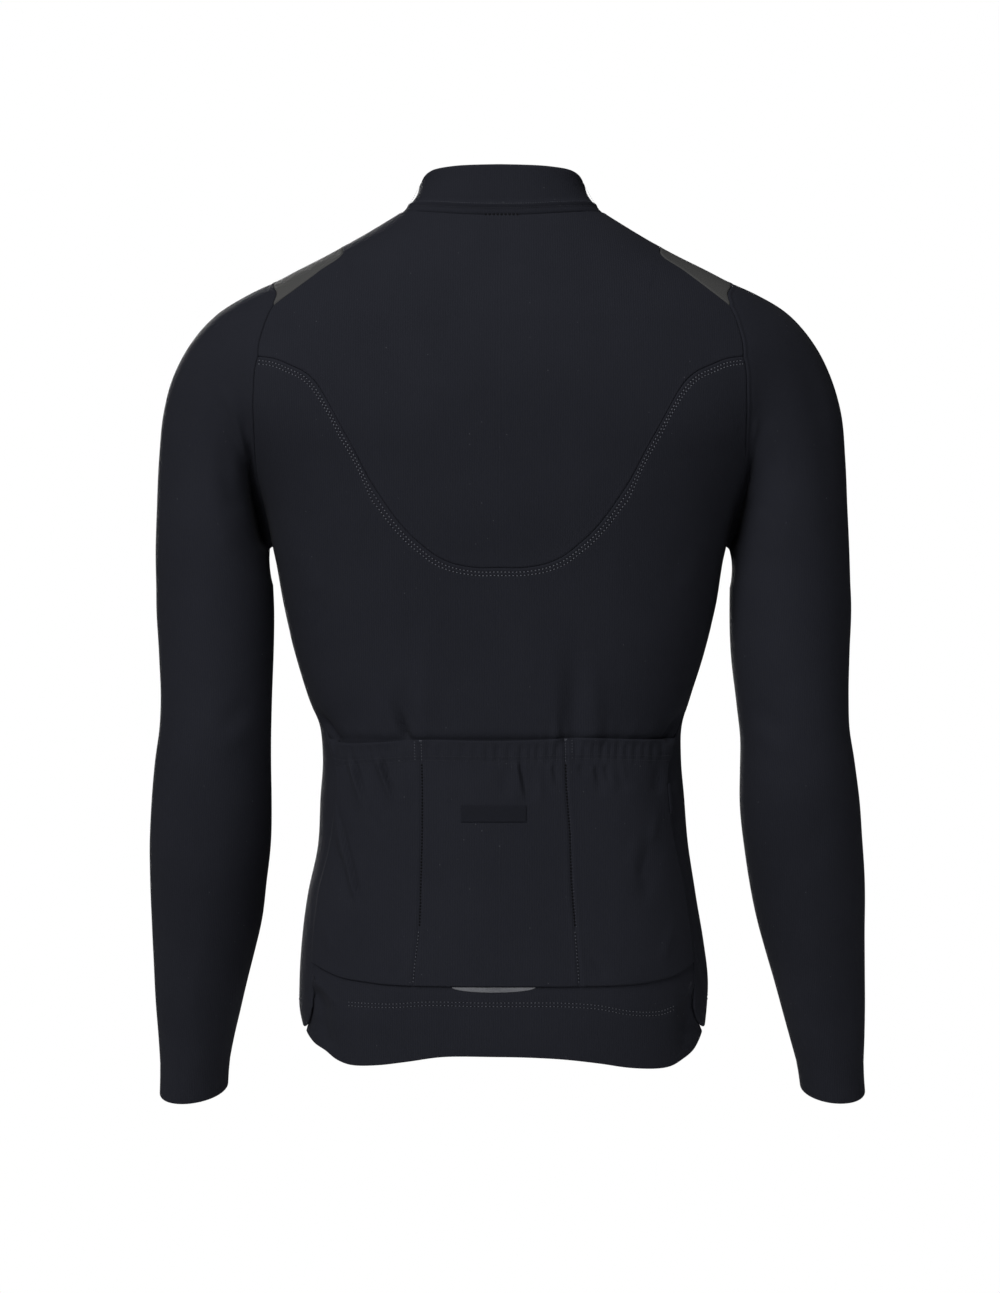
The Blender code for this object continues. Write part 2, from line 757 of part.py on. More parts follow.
def vent_route():
    """The tail's own edge: beside the front's edge until it is low enough to go under it."""
    start = side_seam_point(BARTACK)
    below = (start[0], BARTACK - TUCK_DROP)
    return np.array([start, below, *[(p.angle, p.height) for p in VENT_EDGE]])


def front_vent_route(strips):
    """The front's free edge, from the bartack down to its rounded corner."""
    start = side_seam_point(BARTACK)
    end = FRONT_HEM_EDGE[-1]
    return evenly([start, (end.angle, end.height)], strips)


def back_panels(seams, knit):
    """The yoke and the back below its curved seam. Returns the back's grid and its row numbers."""
    neck = evenly(across_back([*seam_route(NECK_BACK_SEAM), NECK_SIDE]), BACK_STRIPS)
    yoke_seam = evenly(across_back(seam_route(YOKE_SEAM)), BACK_STRIPS)
    yoke_edge = joined(seams["ridge"], seams["wedge_back"], seams["armhole_yoke"])
    yoke_rows = len(yoke_edge) - 1
    yoke = patch(
        {0: neck, yoke_rows: yoke_seam},
        mirrored(yoke_edge, "left"),
        mirrored(yoke_edge, "right"),
    )
    cloth_panel("back_yoke", yoke, knit)

    edge = joined(
        seams["armhole_back"],
        seams["side"],
        seams["pocket_side"],
        seams["tack"],
        vent_route(),
    )
    pocket_row = ARMHOLE_BACK_STRIPS + SIDE_STRIPS
    pocket_end = pocket_row + POCKET_STRIPS
    hem_row = len(edge) - 1
    rows = {
        0: yoke_seam,
        pocket_row: evenly(
            level_route(POCKET_TOP_EDGE, edge[pocket_row, 0]), BACK_STRIPS
        ),
        pocket_end: evenly(
            level_route(POCKET_BOTTOM_EDGE, edge[pocket_end, 0]), BACK_STRIPS
        ),
        hem_row: evenly(level_route(TAIL_HEM, edge[hem_row, 0]), BACK_STRIPS),
    }
    back = patch(rows, mirrored(edge, "left"), mirrored(edge, "right"))
    cloth_panel("back_body", back, knit, lift=tail_tuck(back))
    return neck, back, pocket_row, pocket_end


def pocket_lift(grid, divider_left, divider_right):
    """The pockets stand off the back between their dividers and sides, and close at the bottom."""
    points = bare_body(grid[..., 0], grid[..., 1])
    rows, columns = grid.shape[:2]
    lines = (0, divider_left, divider_right, columns - 1)
    index = np.arange(columns)
    fullness = np.zeros(columns)
    for start, end in zip(lines, lines[1:]):
        inside = (index >= start) & (index <= end)
        fullness[inside] = np.sin(
            math.pi * (index[inside] - start) / (end - start)
        ) ** 2
    down = np.linspace(0, 1, rows)[:, None]
    opening = POCKET_MOUTH + (1 - POCKET_MOUTH) * ease(0, 0.25, down)
    standing = POCKET_FULLNESS * fullness * (1 - down**3) * opening
    folds = fold_height(POCKET_FOLDS, points)
    edges = np.minimum(index, columns - 1 - index) / 2
    folds = folds * np.clip(edges, 0, 1)
    lie = LAY_GAP + POCKET_CLOTH
    return lie + standing + np.maximum(folds, -standing)


def pockets(back, first, last, knit):
    """One panel for the three pockets, made from the back's own points, moved out."""
    grid = back[first : last + 1]
    top = bare_body(grid[0, :, 0], grid[0, :, 1])[:, 0]
    divider_left = int(np.argmin(abs(top - DIVIDER_LEFT)))
    divider_right = int(np.argmin(abs(top - DIVIDER_RIGHT)))
    lift = pocket_lift(grid, divider_left, divider_right)
    cloth_panel("pocket_panel", grid, knit, lift=lift, thickness=POCKET_CLOTH)
    return grid, lift


def front_panel(side, seams, knit):
    """One front: centre front to the side seam, neck seam to hem."""
    neck = evenly(
        [*seam_route(NECK_FRONT_SEAM, front=True), NECK_SIDE], FINE_STRIPS
    )
    edge_x = ZIP_HALF_WIDTH + SEAM_GAP / 2
    starts = np.array([bare_body(a, h)[0] > edge_x for a, h in neck])
    neck = evenly(neck[int(np.argmax(starts)) :], NECK_STRIPS, FRONT_CROWDING)
    hem = evenly([(p.angle, p.height) for p in FRONT_HEM_EDGE], FINE_STRIPS)
    starts = np.array([bare_body(a, h)[0] > edge_x for a, h in hem])
    hem = evenly(hem[int(np.argmax(starts)) :], NECK_STRIPS, FRONT_CROWDING)
    edge = joined(
        seams["ridge"],
        seams["wedge_front"],
        seams["armhole_front"],
        seams["side"],
        seams["pocket_side"],
        seams["tack"],
        front_vent_route(VENT_STRIPS),
    )
    hem[-1] = edge[-1]
    last = len(edge) - 1
    wedge_row = RIDGE_STRIPS + WEDGE_STRIPS
    armpit_row = wedge_row + ARMHOLE_YOKE_STRIPS + ARMHOLE_BACK_STRIPS
    pocket_row = armpit_row + SIDE_STRIPS
    landmarks = (0, wedge_row, armpit_row, pocket_row, pocket_row + POCKET_STRIPS, last)
    levels = (neck[0, 1], FRONT_YOKE_LEVEL, ARMPIT, POCKET_TOP, FRONT_TACK_LEVEL, FRONT_HEM)
    heights = np.interp(np.arange(last + 1), landmarks, levels)
    centre = np.array([(float(angle_at(edge_x, h, front=True)), h) for h in heights])
    neck[0], hem[0] = centre[0], centre[-1]
    rows = {0: neck, last: hem}
    for row in landmarks[1:-1]:
        route = [centre[row], (centre[row] + edge[row]) / 2, edge[row]]
        rows[row] = evenly(route, NECK_STRIPS, FRONT_CROWDING)
    grid = patch(rows, centre, edge)
    grid = mirrored(grid, side)
    if side == "left":
        grid = grid[:, ::-1]
    cloth_panel(f"front_{side}", grid, knit)
    return mirrored(neck, side), centre


def shoulder_panel(side, seams, knit):
    """The wedge that lies over the shoulder's ridge, from its point near the neck to the armhole."""
    back_edge, front_edge = seams["wedge_back"], seams["wedge_front"]
    armhole = joined(seams["top_back"][::-1], seams["top_front"])
    share = np.linspace(0, 1, len(armhole))[:, None]
    across_end = (1 - share) * back_edge[-1] + share * front_edge[-1]
    rows = []
    for i in range(WEDGE_STRIPS + 1):
        line = (1 - share) * back_edge[i] + share * front_edge[i]
        # A row's middle rides up on the ridge, as the armhole's does.
        rows.append(line + (i / WEDGE_STRIPS) ** RIDGE_RISE * (armhole - across_end))
    grid = mirrored(np.array(rows), side)
    outer = body(grid[..., 0], grid[..., 1])
    inner = outer - body_normal(grid[..., 0], grid[..., 1]) * CLOTH
    for face in (outer, inner):
        face[0] += WEDGE_TIP * (face[1] - face[0])
    wall(f"shoulder_panel_{side}", *trimmed(outer, inner, SEAM_GAP / 2), knit)


def arm_ring(side, height):
    """Middle, half width, half depth and lean of the arm at a height."""
    heights = column(ARM_RINGS, "height")
    read = {
        name: smooth(heights, column(ARM_RINGS, name), height)
        for name in (f"{side}_x", f"{side}_half", "forward", "half_depth", "lean")
    }
    middle = np.stack(
        np.broadcast_arrays(SIDES[side] * read[f"{side}_x"], read["forward"], height),
        axis=-1,
    )
    return middle, read[f"{side}_half"], read["half_depth"], read["lean"]


def arm_point(side, turn, height):
    """A point of the arm. turn is 0 on the outside of the arm and 90 degrees at its back."""
    middle, half, depth, lean = arm_ring(side, height)
    above = np.minimum(height + ARM_STEP, ARM_RINGS[0].height)
    below = np.maximum(height - ARM_STEP, ARM_RINGS[-1].height)
    axis = unit(arm_ring(side, below)[0] - arm_ring(side, above)[0])
    out = np.array([SIDES[side], 0, 0])
    out = unit(out - np.sum(out * axis, axis=-1, keepdims=True) * axis)
    back = unit(np.cross(axis, out)) * SIDES[side]
    back = back * -np.sign(back[..., 1:2])
    turn = np.radians(turn)
    sideways = (half * np.cos(turn))[..., None] * out
    point = middle + sideways + (depth * np.sin(turn))[..., None] * back
    point[..., 2] -= lean * half * np.cos(turn)
    return point


def armhole_loop(seams):
    """The armhole's points on the wearer's right, from the shoulder over the back and round."""
    back = joined(seams["top_back"], seams["armhole_yoke"], seams["armhole_back"])
    front = joined(seams["top_front"], seams["armhole_front"])
    return np.concatenate([back, front[::-1][1:-1]])


def sleeve(side, seams, knit):
    """A tube from the armhole to the cuff. Its columns leave the armhole along the body's surface."""
    loop = mirrored(armhole_loop(seams), side)
    start = body(loop[:, 0], loop[:, 1])
    normal = body_normal(loop[:, 0], loop[:, 1])
    along = unit(np.roll(start, -1, 0) - np.roll(start, 1, 0))
    across = unit(np.cross(along, normal))
    inward = np.mean(start, axis=0) - start
    across = across * np.sign(np.sum(across * inward, axis=1, keepdims=True))
    turns = np.arange(ARM_COLUMNS) * 360 / ARM_COLUMNS
    top = ARM_RINGS[0].height
    end = arm_point(side, turns, np.full(ARM_COLUMNS, float(top)))
    below = arm_point(side, turns, np.full(ARM_COLUMNS, top - 8.0))
    arm_axis = unit(below - end)

    chord = np.linalg.norm(end - start, axis=1, keepdims=True)
    openness = (0.5 + 0.5 * np.cos(np.radians(turns)))[:, None]
    reach = ARMPIT_HANDLE + (CAP_HANDLE * chord - ARMPIT_HANDLE) * openness**0.7
    outward = unit(np.array([SIDES[side] * ARMPIT_OUT[0], 0, ARMPIT_OUT[1]]))
    under = (1 - openness) ** 4
    turned = ARMPIT_ROUND * under
    first = start + reach * unit(across * (1 - turned) + outward * turned)
    second = end - arm_axis * chord * ARM_HANDLE
    second = second + np.array([SIDES[side], 0, 0]) * ARMPIT_SPREAD * under

    profile_x = np.append(start[0, 0], SIDES[side] * column(SHOULDER_LINE, side))
    profile_z = np.append(start[0, 2], column(SHOULDER_LINE, "height"))
    length = np.concatenate(
        [[0], np.cumsum(np.hypot(np.diff(profile_x), np.diff(profile_z)))]
    )
    rows = []
    for row in range(CAP_STRIPS + 1):
        t = row / CAP_STRIPS
        cubic = [(1 - t) ** 3, 3 * t * (1 - t) ** 2, 3 * t * t * (1 - t), t**3]
        line = cubic[0] * start + cubic[1] * first + cubic[2] * second + cubic[3] * end
        wanted = np.array(
            [
                smooth(length, profile_x, t * length[-1]),
                (1 - t) * start[0, 1] + t * end[0, 1],
                smooth(length, profile_z, t * length[-1]),
            ]
        )
        rows.append(line + openness**2 * (wanted - line[0]))
    last = ARM_RINGS[-1].height
    for height in np.linspace(top, last, ARM_STRIPS + 1)[1:]:
        rows.append(arm_point(side, turns, np.full(ARM_COLUMNS, height)))
    outer = np.array(rows)

    round_it = np.roll(outer, -1, 1) - np.roll(outer, 1, 1)
    down = np.gradient(outer, axis=0)
    normals = unit(np.cross(down, round_it)) * SIDES[side]
    middle = outer.mean(axis=1, keepdims=True)
    flip = np.sign(np.sum(normals[-1] * (outer[-1] - middle[-1])))
    normals = normals * flip
    normals[0] = normal
    inner = outer - normals * CLOTH
    outer, inner = trimmed(outer, inner, SEAM_GAP / 2, closed=True)
    wall(f"sleeve_{side}", outer, inner, knit, closed=True)


def collar_top(base_angle):
    """The collar's upper edge at an angle round the neck."""
    turn = np.radians(base_angle)
    sine, cosine = np.sin(turn), np.cos(turn)
    power = 2 / ROUNDNESS
    wide = np.where(sine < 0, COLLAR_LEFT, COLLAR_RIGHT)
    x = wide * np.sign(sine) * np.abs(sine) ** power
    deep = np.where(cosine > 0, COLLAR_TOP_BACK, COLLAR_TOP_FRONT)
    y = -deep * np.sign(cosine) * np.abs(cosine) ** power
    table = COLLAR_TOP
    z = smooth(column(table, "angle"), column(table, "height"), np.abs(base_angle))
    return np.stack([x, y, z], axis=-1)


def collar(neck_left, neck_back, neck_right, knit):
    """The stand-up collar, from one side of the zip round the back of the neck to the other."""
    base = joined(neck_left, neck_back, neck_right[::-1])
    foot = body(base[:, 0], base[:, 1])
    behind = (NECK_MIDDLE_Y - foot[:, 1]) / NECK_HALF_DEPTH
    round_neck = np.degrees(np.arctan2(foot[:, 0] / NECK_HALF_WIDTH, behind))
    for end, sign, wide in ((0, -1, COLLAR_LEFT), (-1, 1, COLLAR_RIGHT)):
        edge = math.asin((ZIP_HALF_WIDTH / wide) ** (ROUNDNESS / 2))
        round_neck[end] = sign * (180 - np.degrees(edge))
    head = collar_top(round_neck)
    sideways = np.sin(np.radians(round_neck)) ** 2
    flare = (COLLAR_RISE + (COLLAR_FLARE - COLLAR_RISE) * sideways)[:, None]
    rows = []
    for row in range(COLLAR_STRIPS + 1):
        up = row / COLLAR_STRIPS
        inward = 1 - (1 - up) ** flare
        line = foot + (head - foot) * np.array([1, 1, 0]) * inward
        line[:, 2] = foot[:, 2] + (head[:, 2] - foot[:, 2]) * up
        line[0, 0] = foot[0, 0] + (head[0, 0] - foot[0, 0]) * up
        line[-1, 0] = foot[-1, 0] + (head[-1, 0] - foot[-1, 0]) * up
        rows.append(line)
    outer = np.array(rows)[::-1]
    round_it = np.gradient(outer, axis=1)
    down = np.gradient(outer, axis=0)
    normals = unit(np.cross(down, round_it))
    away = outer - outer.mean(axis=(0, 1))
    normals = normals * np.sign(np.sum(normals[0] * away[0]))
    normals[-1] = body_normal(base[:, 0], base[:, 1])
    inner = outer - normals * COLLAR_CLOTH
    wall("collar", *trimmed(outer, inner, SEAM_GAP / 2), knit)
    return outer


def front_zip(centre, collar_face, tape):
    """The closed zip: a strip down the centre front, from the collar's top to the hem."""
    collar_line = (collar_face[:, 0] + collar_face[:, -1]) / 2
    body_line = body(centre[:, 0], centre[:, 1])
    line = np.concatenate([collar_line[:-1], body_line])
    line[:, 0] = 0
    half = ZIP_HALF_WIDTH - SEAM_GAP / 2
    columns = np.array([-1, 0, 1])
    outer = line[:, None] + columns[None, :, None] * np.array([half, 0, 0])
    down = unit(np.gradient(line, axis=0))
    forward = unit(np.cross(down, [1.0, 0, 0]))
    forward = forward * np.sign(forward[:, 1:2])
    outer = outer + forward[:, None] * (ZIP_CROWN * (1 - columns**2))[None, :, None]
    inner = outer - forward[:, None] * ZIP_WALL
    wall("front_zip", outer, inner, tape)
    return line, forward


def slider_and_pull(line, forward, metal):
    """The slider at the top of the closed zip, and the pull that swings on its pin."""
    order = np.argsort(line[:, 2])
    y = float(np.interp(SLIDER_HEIGHT, line[order, 2], line[order, 1]))
    outward = np.array(
        [np.interp(SLIDER_HEIGHT, line[order, 2], forward[order, k]) for k in range(3)]
    )
    outward = outward / np.linalg.norm(outward)
    tilt = math.atan2(-outward[2], outward[1])
    placed = Matrix.Translation(Vector((0, y, SLIDER_HEIGHT)) * MM) @ Matrix.Rotation(
        -tilt, 4, "X"
    )
    base = ZIP_CROWN + LAY_GAP
    top = base + SLIDER_THICK
    pivot = top + BARREL_RADIUS + PULL_PLAY
    lug_x = (LUG_GAP + LUG_WIDTH) / 2
    lug_foot = top - SLIDER_THICK / 4
    lug_top = pivot + PIN_RADIUS
    barrel_width = LUG_GAP - 2 * PULL_PLAY

    slider = box(
        "zip_slider",
        (0, (base + top) / 2, 0),
        (SLIDER_WIDTH, SLIDER_THICK, SLIDER_LENGTH),
        metal,
        bevel=0.8,
    )
    for sign in (-1, 1):
        lug = box(
            f"lug_{sign}",
            (sign * lug_x, (lug_foot + lug_top) / 2, 0),
            (LUG_WIDTH, lug_top - lug_foot, LUG_DEPTH),
            bevel=0.3,
        )
        combine(slider, lug, "UNION")
    pin = rod("pin", (0, pivot, 0), PIN_RADIUS, LUG_GAP + LUG_WIDTH)
    combine(slider, pin, "UNION")

    pull = box(
        "zip_pull",
        (0, pivot, -BARREL_RADIUS - 1 - PULL_LENGTH / 2),
        (PULL_WIDTH, PULL_THICK, PULL_LENGTH - 2),
        metal,
        bevel=0.5,
    )
    neck = box(
        "neck",
        (0, pivot, -EYE_RADIUS - NECK_LENGTH / 2),
        (barrel_width - 0.4, PULL_THICK - 0.3, NECK_LENGTH),
    )
    barrel = rod("barrel", (0, pivot, 0), BARREL_RADIUS, barrel_width)
    eye = rod("eye", (0, pivot, 0), EYE_RADIUS, LUG_GAP + LUG_WIDTH)
    combine(pull, neck, "UNION")
    combine(pull, barrel, "UNION")
    combine(pull, eye, "DIFFERENCE")
    for obj in [slider, pull, *tools.objects]:
        obj.data.transform(placed)


def panel_strip(name, xs, tops, bottoms, base, material):
    """A small flat piece laid on the back: its columns at xs, between two heights at each."""
    height = np.stack([tops, (tops + bottoms) / 2, bottoms])
    angle = [[float(angle_at(x, h)) for x, h in zip(xs, row)] for row in height]
    outer = body(np.array(angle), height, base + LAY_GAP + TRIM_CLOTH)
    inner = outer - body_normal(np.array(angle), height) * TRIM_CLOTH
    wall(name, outer, inner, material)


def pocket_face(grid, lift, xs, heights):
    """How far the pocket's outer face stands off the body near the given points, at most."""
    points = bare_body(grid[..., 0], grid[..., 1])
    inside = (
        (points[..., 0] > min(xs) - LABEL_REACH)
        & (points[..., 0] < max(xs) + LABEL_REACH)
        & (points[..., 2] > min(heights) - LABEL_REACH)
        & (points[..., 2] < max(heights) + LABEL_REACH)
    )
    return float(lift[inside].max())


def trim(grid, lift, knit, reflective):
    """The label, the reflective tab under the pockets and the tab in the side seam."""
    xs = np.linspace(LABEL_LEFT, LABEL_RIGHT, 7)
    tops, bottoms = np.full(7, LABEL_TOP), np.full(7, LABEL_BOTTOM)
    base = pocket_face(grid, lift, xs, (LABEL_TOP, LABEL_BOTTOM))
    panel_strip("pocket_label", xs, tops, bottoms, base, knit)

    xs = np.linspace(TAB_LEFT, TAB_RIGHT, 13)
    tops = np.full(13, POCKET_BOTTOM_EDGE[0].left - SEAM_GAP)
    lens = np.sqrt(np.maximum(1 - np.linspace(-1, 1, 13) ** 2, TAB_END**2))
    panel_strip("reflective_tab", xs, tops, tops - TAB_DROP * lens, 0.0, reflective)

    height = np.linspace(SIDE_TAB_TOP, SIDE_TAB_BOTTOM, 4)
    seam = np.array([side_seam_point(h) for h in height])
    step = np.array([SIDE_TAB_WIDTH / 2, 0])
    tab = np.stack([seam - step, seam + step / 2], axis=1)
    base = LAY_GAP + POCKET_CLOTH + SIDE_TAB_STAND
    outer = body(tab[..., 0], tab[..., 1], base + LAY_GAP + TRIM_CLOTH)
    inner = outer - body_normal(tab[..., 0], tab[..., 1]) * TRIM_CLOTH
    wall("side_tab", outer, inner, knit)


def build():
    knit = new_material("black_knit", (0.018, 0.019, 0.024), 0.8)
    light = new_material("grey_reflective_knit", (0.13, 0.13, 0.12), 0.6)
    mirror = new_material("silver_reflective", (0.45, 0.46, 0.5), 0.4)
    tape = new_material("zip_tape", (0.012, 0.012, 0.014), 0.6)
    metal = new_material("dark_metal", (0.05, 0.05, 0.055), 0.35, 1.0)

    seams = half_seams()
    neck_back, back, pocket_row, pocket_end = back_panels(seams, knit)
    pocket_grid, lift = pockets(back, pocket_row, pocket_end, knit)
    necks = {}
    for side in SIDES:
        necks[side], centre = front_panel(side, seams, knit)
        shoulder_panel(side, seams, light)
        sleeve(side, seams, knit)
    collar_face = collar(necks["left"], neck_back, necks["right"], knit)
    line, forward = front_zip(centre, collar_face, tape)
    slider_and_pull(line, forward, metal)
    trim(pocket_grid, lift, knit, mirror)


for leftover in list(bpy.data.objects):
    bpy.data.objects.remove(leftover)
jacket = new_collection("cycling_jacket")
tools = new_collection("tools")
build()
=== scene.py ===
"""The look of a long-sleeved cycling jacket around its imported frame.

Sizes are in millimetres until a mesh is made. The wearer's right is +X, their front is +Y, up is +Z,
and the origin is the middle of the neck at the neck seam's height on the centre back.

The body is one smooth surface, read by an angle round it (0 at the centre back, 180 at the centre
front, negative on the wearer's left) and a height. Each cut panel is a fine grid on that surface, with
its folds, rolled edges and stitch troughs raised or sunk along the surface's outward direction.
"""

import math
from collections import namedtuple

import bpy
import numpy as np
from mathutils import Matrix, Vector


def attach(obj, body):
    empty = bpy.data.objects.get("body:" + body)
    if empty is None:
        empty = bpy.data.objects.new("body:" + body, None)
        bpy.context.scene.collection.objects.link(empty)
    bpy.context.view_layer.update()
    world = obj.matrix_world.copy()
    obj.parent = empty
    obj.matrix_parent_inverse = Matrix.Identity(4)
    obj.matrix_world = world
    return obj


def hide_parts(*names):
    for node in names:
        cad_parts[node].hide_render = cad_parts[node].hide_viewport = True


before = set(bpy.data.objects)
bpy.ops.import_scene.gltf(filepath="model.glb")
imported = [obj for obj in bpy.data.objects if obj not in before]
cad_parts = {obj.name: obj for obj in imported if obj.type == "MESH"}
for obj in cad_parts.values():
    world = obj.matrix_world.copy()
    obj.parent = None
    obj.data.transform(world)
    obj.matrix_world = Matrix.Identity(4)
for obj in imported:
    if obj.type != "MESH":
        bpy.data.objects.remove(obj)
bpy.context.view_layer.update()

MM = 0.001
X = np.array([1.0, 0, 0])


def table(kind, *rows):
    """A table of named rows."""
    return tuple(kind(*row) for row in rows)


# ---------------------------------------------------------------- the jacket's sizes
CLOTH = 1.6
COLLAR_CLOTH = 2.4
POCKET_CLOTH = 1.4
SEAM_GAP = 0.34
SEAM_SHOWN = 0.1  # what is left open between two sewn cloths
LAY_GAP = 0.4
ROUNDNESS = 2.4

COLLAR_BACK = 41.0
COLLAR_LEFT, COLLAR_RIGHT = 65.0, 68.5
COLLAR_TOP_BACK = 44.0
COLLAR_TOP_FRONT = 53.0
COLLAR_FLARE = 2.1
COLLAR_RISE = 1.2
COLLAR_RIPPLE = 1.4

ZIP_HALF_WIDTH = 6.0
ZIP_WALL = 1.5
ZIP_CROWN = 0.9
NECK_FRONT = -75.0
FRONT_YOKE_LEVEL = -118.0
FRONT_TACK_LEVEL = -598.0
FRONT_HEM = -632.0

SHOULDER_APEX = -19.0
ARMHOLE_TOP = -48.5
YOKE_CORNER = -75.0
SEAM_CORNER = -117.0
ARMPIT = -268.0
POCKET_TOP = -424.0
POCKET_TOP_AT_SEAM = POCKET_TOP + 1
BARTACK = -620.0

TUCK_DEPTH = CLOTH + 0.8
TUCK_END = (-655.0, -664.0)  # the tail comes out again between these heights
TUCK_DROP, TUCK_WIDTH = 12.0, 10.0
POCKET_FULLNESS, POCKET_MOUTH = 2.6, 0.35

# Strips between the seams' corners, each FINE times the number that the solids have.
FINE = 6
NECK_STRIPS = 12 * FINE
CURVE_STEPS = 24
FINE_STRIPS = 800
FRONT_CROWDING = 1.4
BACK_STRIPS = 24 * FINE
RIDGE_STRIPS = 3 * FINE
WEDGE_STRIPS = 6 * FINE
ARMHOLE_TOP_STRIPS = 3 * FINE
ARMHOLE_YOKE_STRIPS = 2 * FINE
ARMHOLE_BACK_STRIPS = 7 * FINE
SIDE_STRIPS = 8 * FINE
POCKET_STRIPS = 8 * FINE
TACK_STRIPS = 1 * FINE
VENT_STRIPS = 3 * FINE
COLLAR_STRIPS = 4 * FINE
CAP_STRIPS = 10 * FINE
ARM_STRIPS = 14 * FINE
ARM_COLUMNS = 24 * FINE
POCKET_FINER = 2  # the pockets' grid has this many times the back's lines

Section = namedtuple("Section", "height left right back front")
SECTIONS = table(
    Section,
    (12, 71, 75, 40, 6), (2, 87, 90.5, 46, 9), (-15, 115, 118, 64, 32), (-30, 142.5, 145, 75, 44),
    (-47, 174.5, 178.5, 84, 54), (-66, 208, 212, 92, 64), (-82, 228, 231, 98, 72),
    (-100, 243, 245, 102, 81), (-125, 250, 251, 107, 92), (-150, 245, 245, 110, 101),
    (-175, 229, 229, 111, 108), (-200, 211, 211, 110, 112), (-232, 195, 195, 108, 115),
    (-275, 184.5, 184, 102, 115), (-315, 177, 177, 97, 111), (-354, 168, 167, 93, 106),
    (-390, 157, 156, 90, 101), (-415, 147.5, 149, 88, 98), (-440, 145, 148.5, 88, 97),
    (-472, 147, 151, 92, 98), (-512, 149.5, 154, 97, 101), (-550, 157, 160, 102, 104),
    (-590, 162, 166.5, 107, 106), (-625, 164, 170, 109, 107), (-645, 164, 169, 109, 107),
    (-665, 160, 167, 108, 106), (-700, 157, 165, 104, 104),
)

SeamPoint = namedtuple("SeamPoint", "across height")
NECK_BACK_SEAM = table(SeamPoint, (0, 0), (25, 0.5), (50, 2.5), (67, 4.2), (77, 5.2))
NECK_FRONT_SEAM = table(
    SeamPoint,
    (0, NECK_FRONT), (20, -72), (42, -63), (62, -48), (76, -30), (84, -12),
)
YOKE_SEAM = table(
    SeamPoint,
    (0, -287), (18, -287), (36, -284), (50, -278), (62, -269), (75, -257), (90, -238), (106, -213),
    (121, -184), (130, -167.5), (136, -156.5), (142.5, -145.5), (149.5, -136.5), (157.5, -130),
    (168, -125), (181, -119.5), (195, SEAM_CORNER),
)
WEDGE_BACK_EDGE = table(SeamPoint, (130, -31), (149, -46), (169, -62), (185, YOKE_CORNER))
WEDGE_FRONT_EDGE = table(SeamPoint, (128, -31), (147, -46), (166, -62), (181, YOKE_CORNER))
ARMHOLE_BACK = table(
    SeamPoint,
    (185, YOKE_CORNER), (192, -94), (195, SEAM_CORNER), (198, -149), (198, -178), (197.5, -200),
    (195.5, -218), (192, -236), (188.5, -252),
)
ARMHOLE_FRONT = table(
    SeamPoint,
    (181, YOKE_CORNER), (182, -103), (180, -131), (179, -165), (180, -197), (183, -226),
    (186, -250),
)

SideSeam = namedtuple("SideSeam", "height inset")
SIDE_SEAM = table(
    SideSeam,
    (ARMPIT, 0), (-330, 0), (-400, 0.5), (-422, 5), (-434, 9), (-448, 13), (-480, 15),
    (-510, 12.5), (-540, 10.5), (-575, 11), (BARTACK, 13), (-645, 13.5),
)

EdgePoint = namedtuple("EdgePoint", "share left right")
POCKET_TOP_EDGE = table(
    EdgePoint,
    (0, POCKET_TOP, POCKET_TOP), (0.43, -423, -422), (0.66, -425, -423), (0.86, -426, -424),
    (0.97, -422, -423),
)
POCKET_BOTTOM_EDGE = table(
    EdgePoint,
    (0, -619, -619), (0.5, -618.5, -619), (0.65, -616.5, -618), (0.75, -614.5, -615.5),
    (0.83, -610.5, -612), (0.92, -603.5, -603.5),
)
POCKET_FOOT_AT_SEAM = POCKET_BOTTOM_EDGE[-1].left
TAIL_HEM = table(
    EdgePoint,
    (0, -675, -675), (0.27, -675, -677), (0.46, -679.5, -681), (0.61, -683, -685.5),
    (0.74, -684, -687.5), (0.82, -680.5, -686.5), (0.88, -674, -682), (0.94, -669, -675),
    (0.98, -661, -662),
)

HemPoint = namedtuple("HemPoint", "angle height")
FRONT_HEM_EDGE = table(
    HemPoint,
    (180, FRONT_HEM), (150, -636), (120, -647), (100, -656), (90, -659), (80, -658.5), (73, -655),
    (68, -648), (65.5, -640),
)
VENT_EDGE = (HemPoint(73, -645), HemPoint(79, -661.5))
COLLAR_TOP = table(
    HemPoint,
    (0, COLLAR_BACK), (35, 40), (60, 37.5), (90, 28), (125, 2), (155, -20), (180, -32),
)
NECK_MIDDLE_Y, NECK_HALF_WIDTH, NECK_HALF_DEPTH = 6.0, 78.0, 56.0

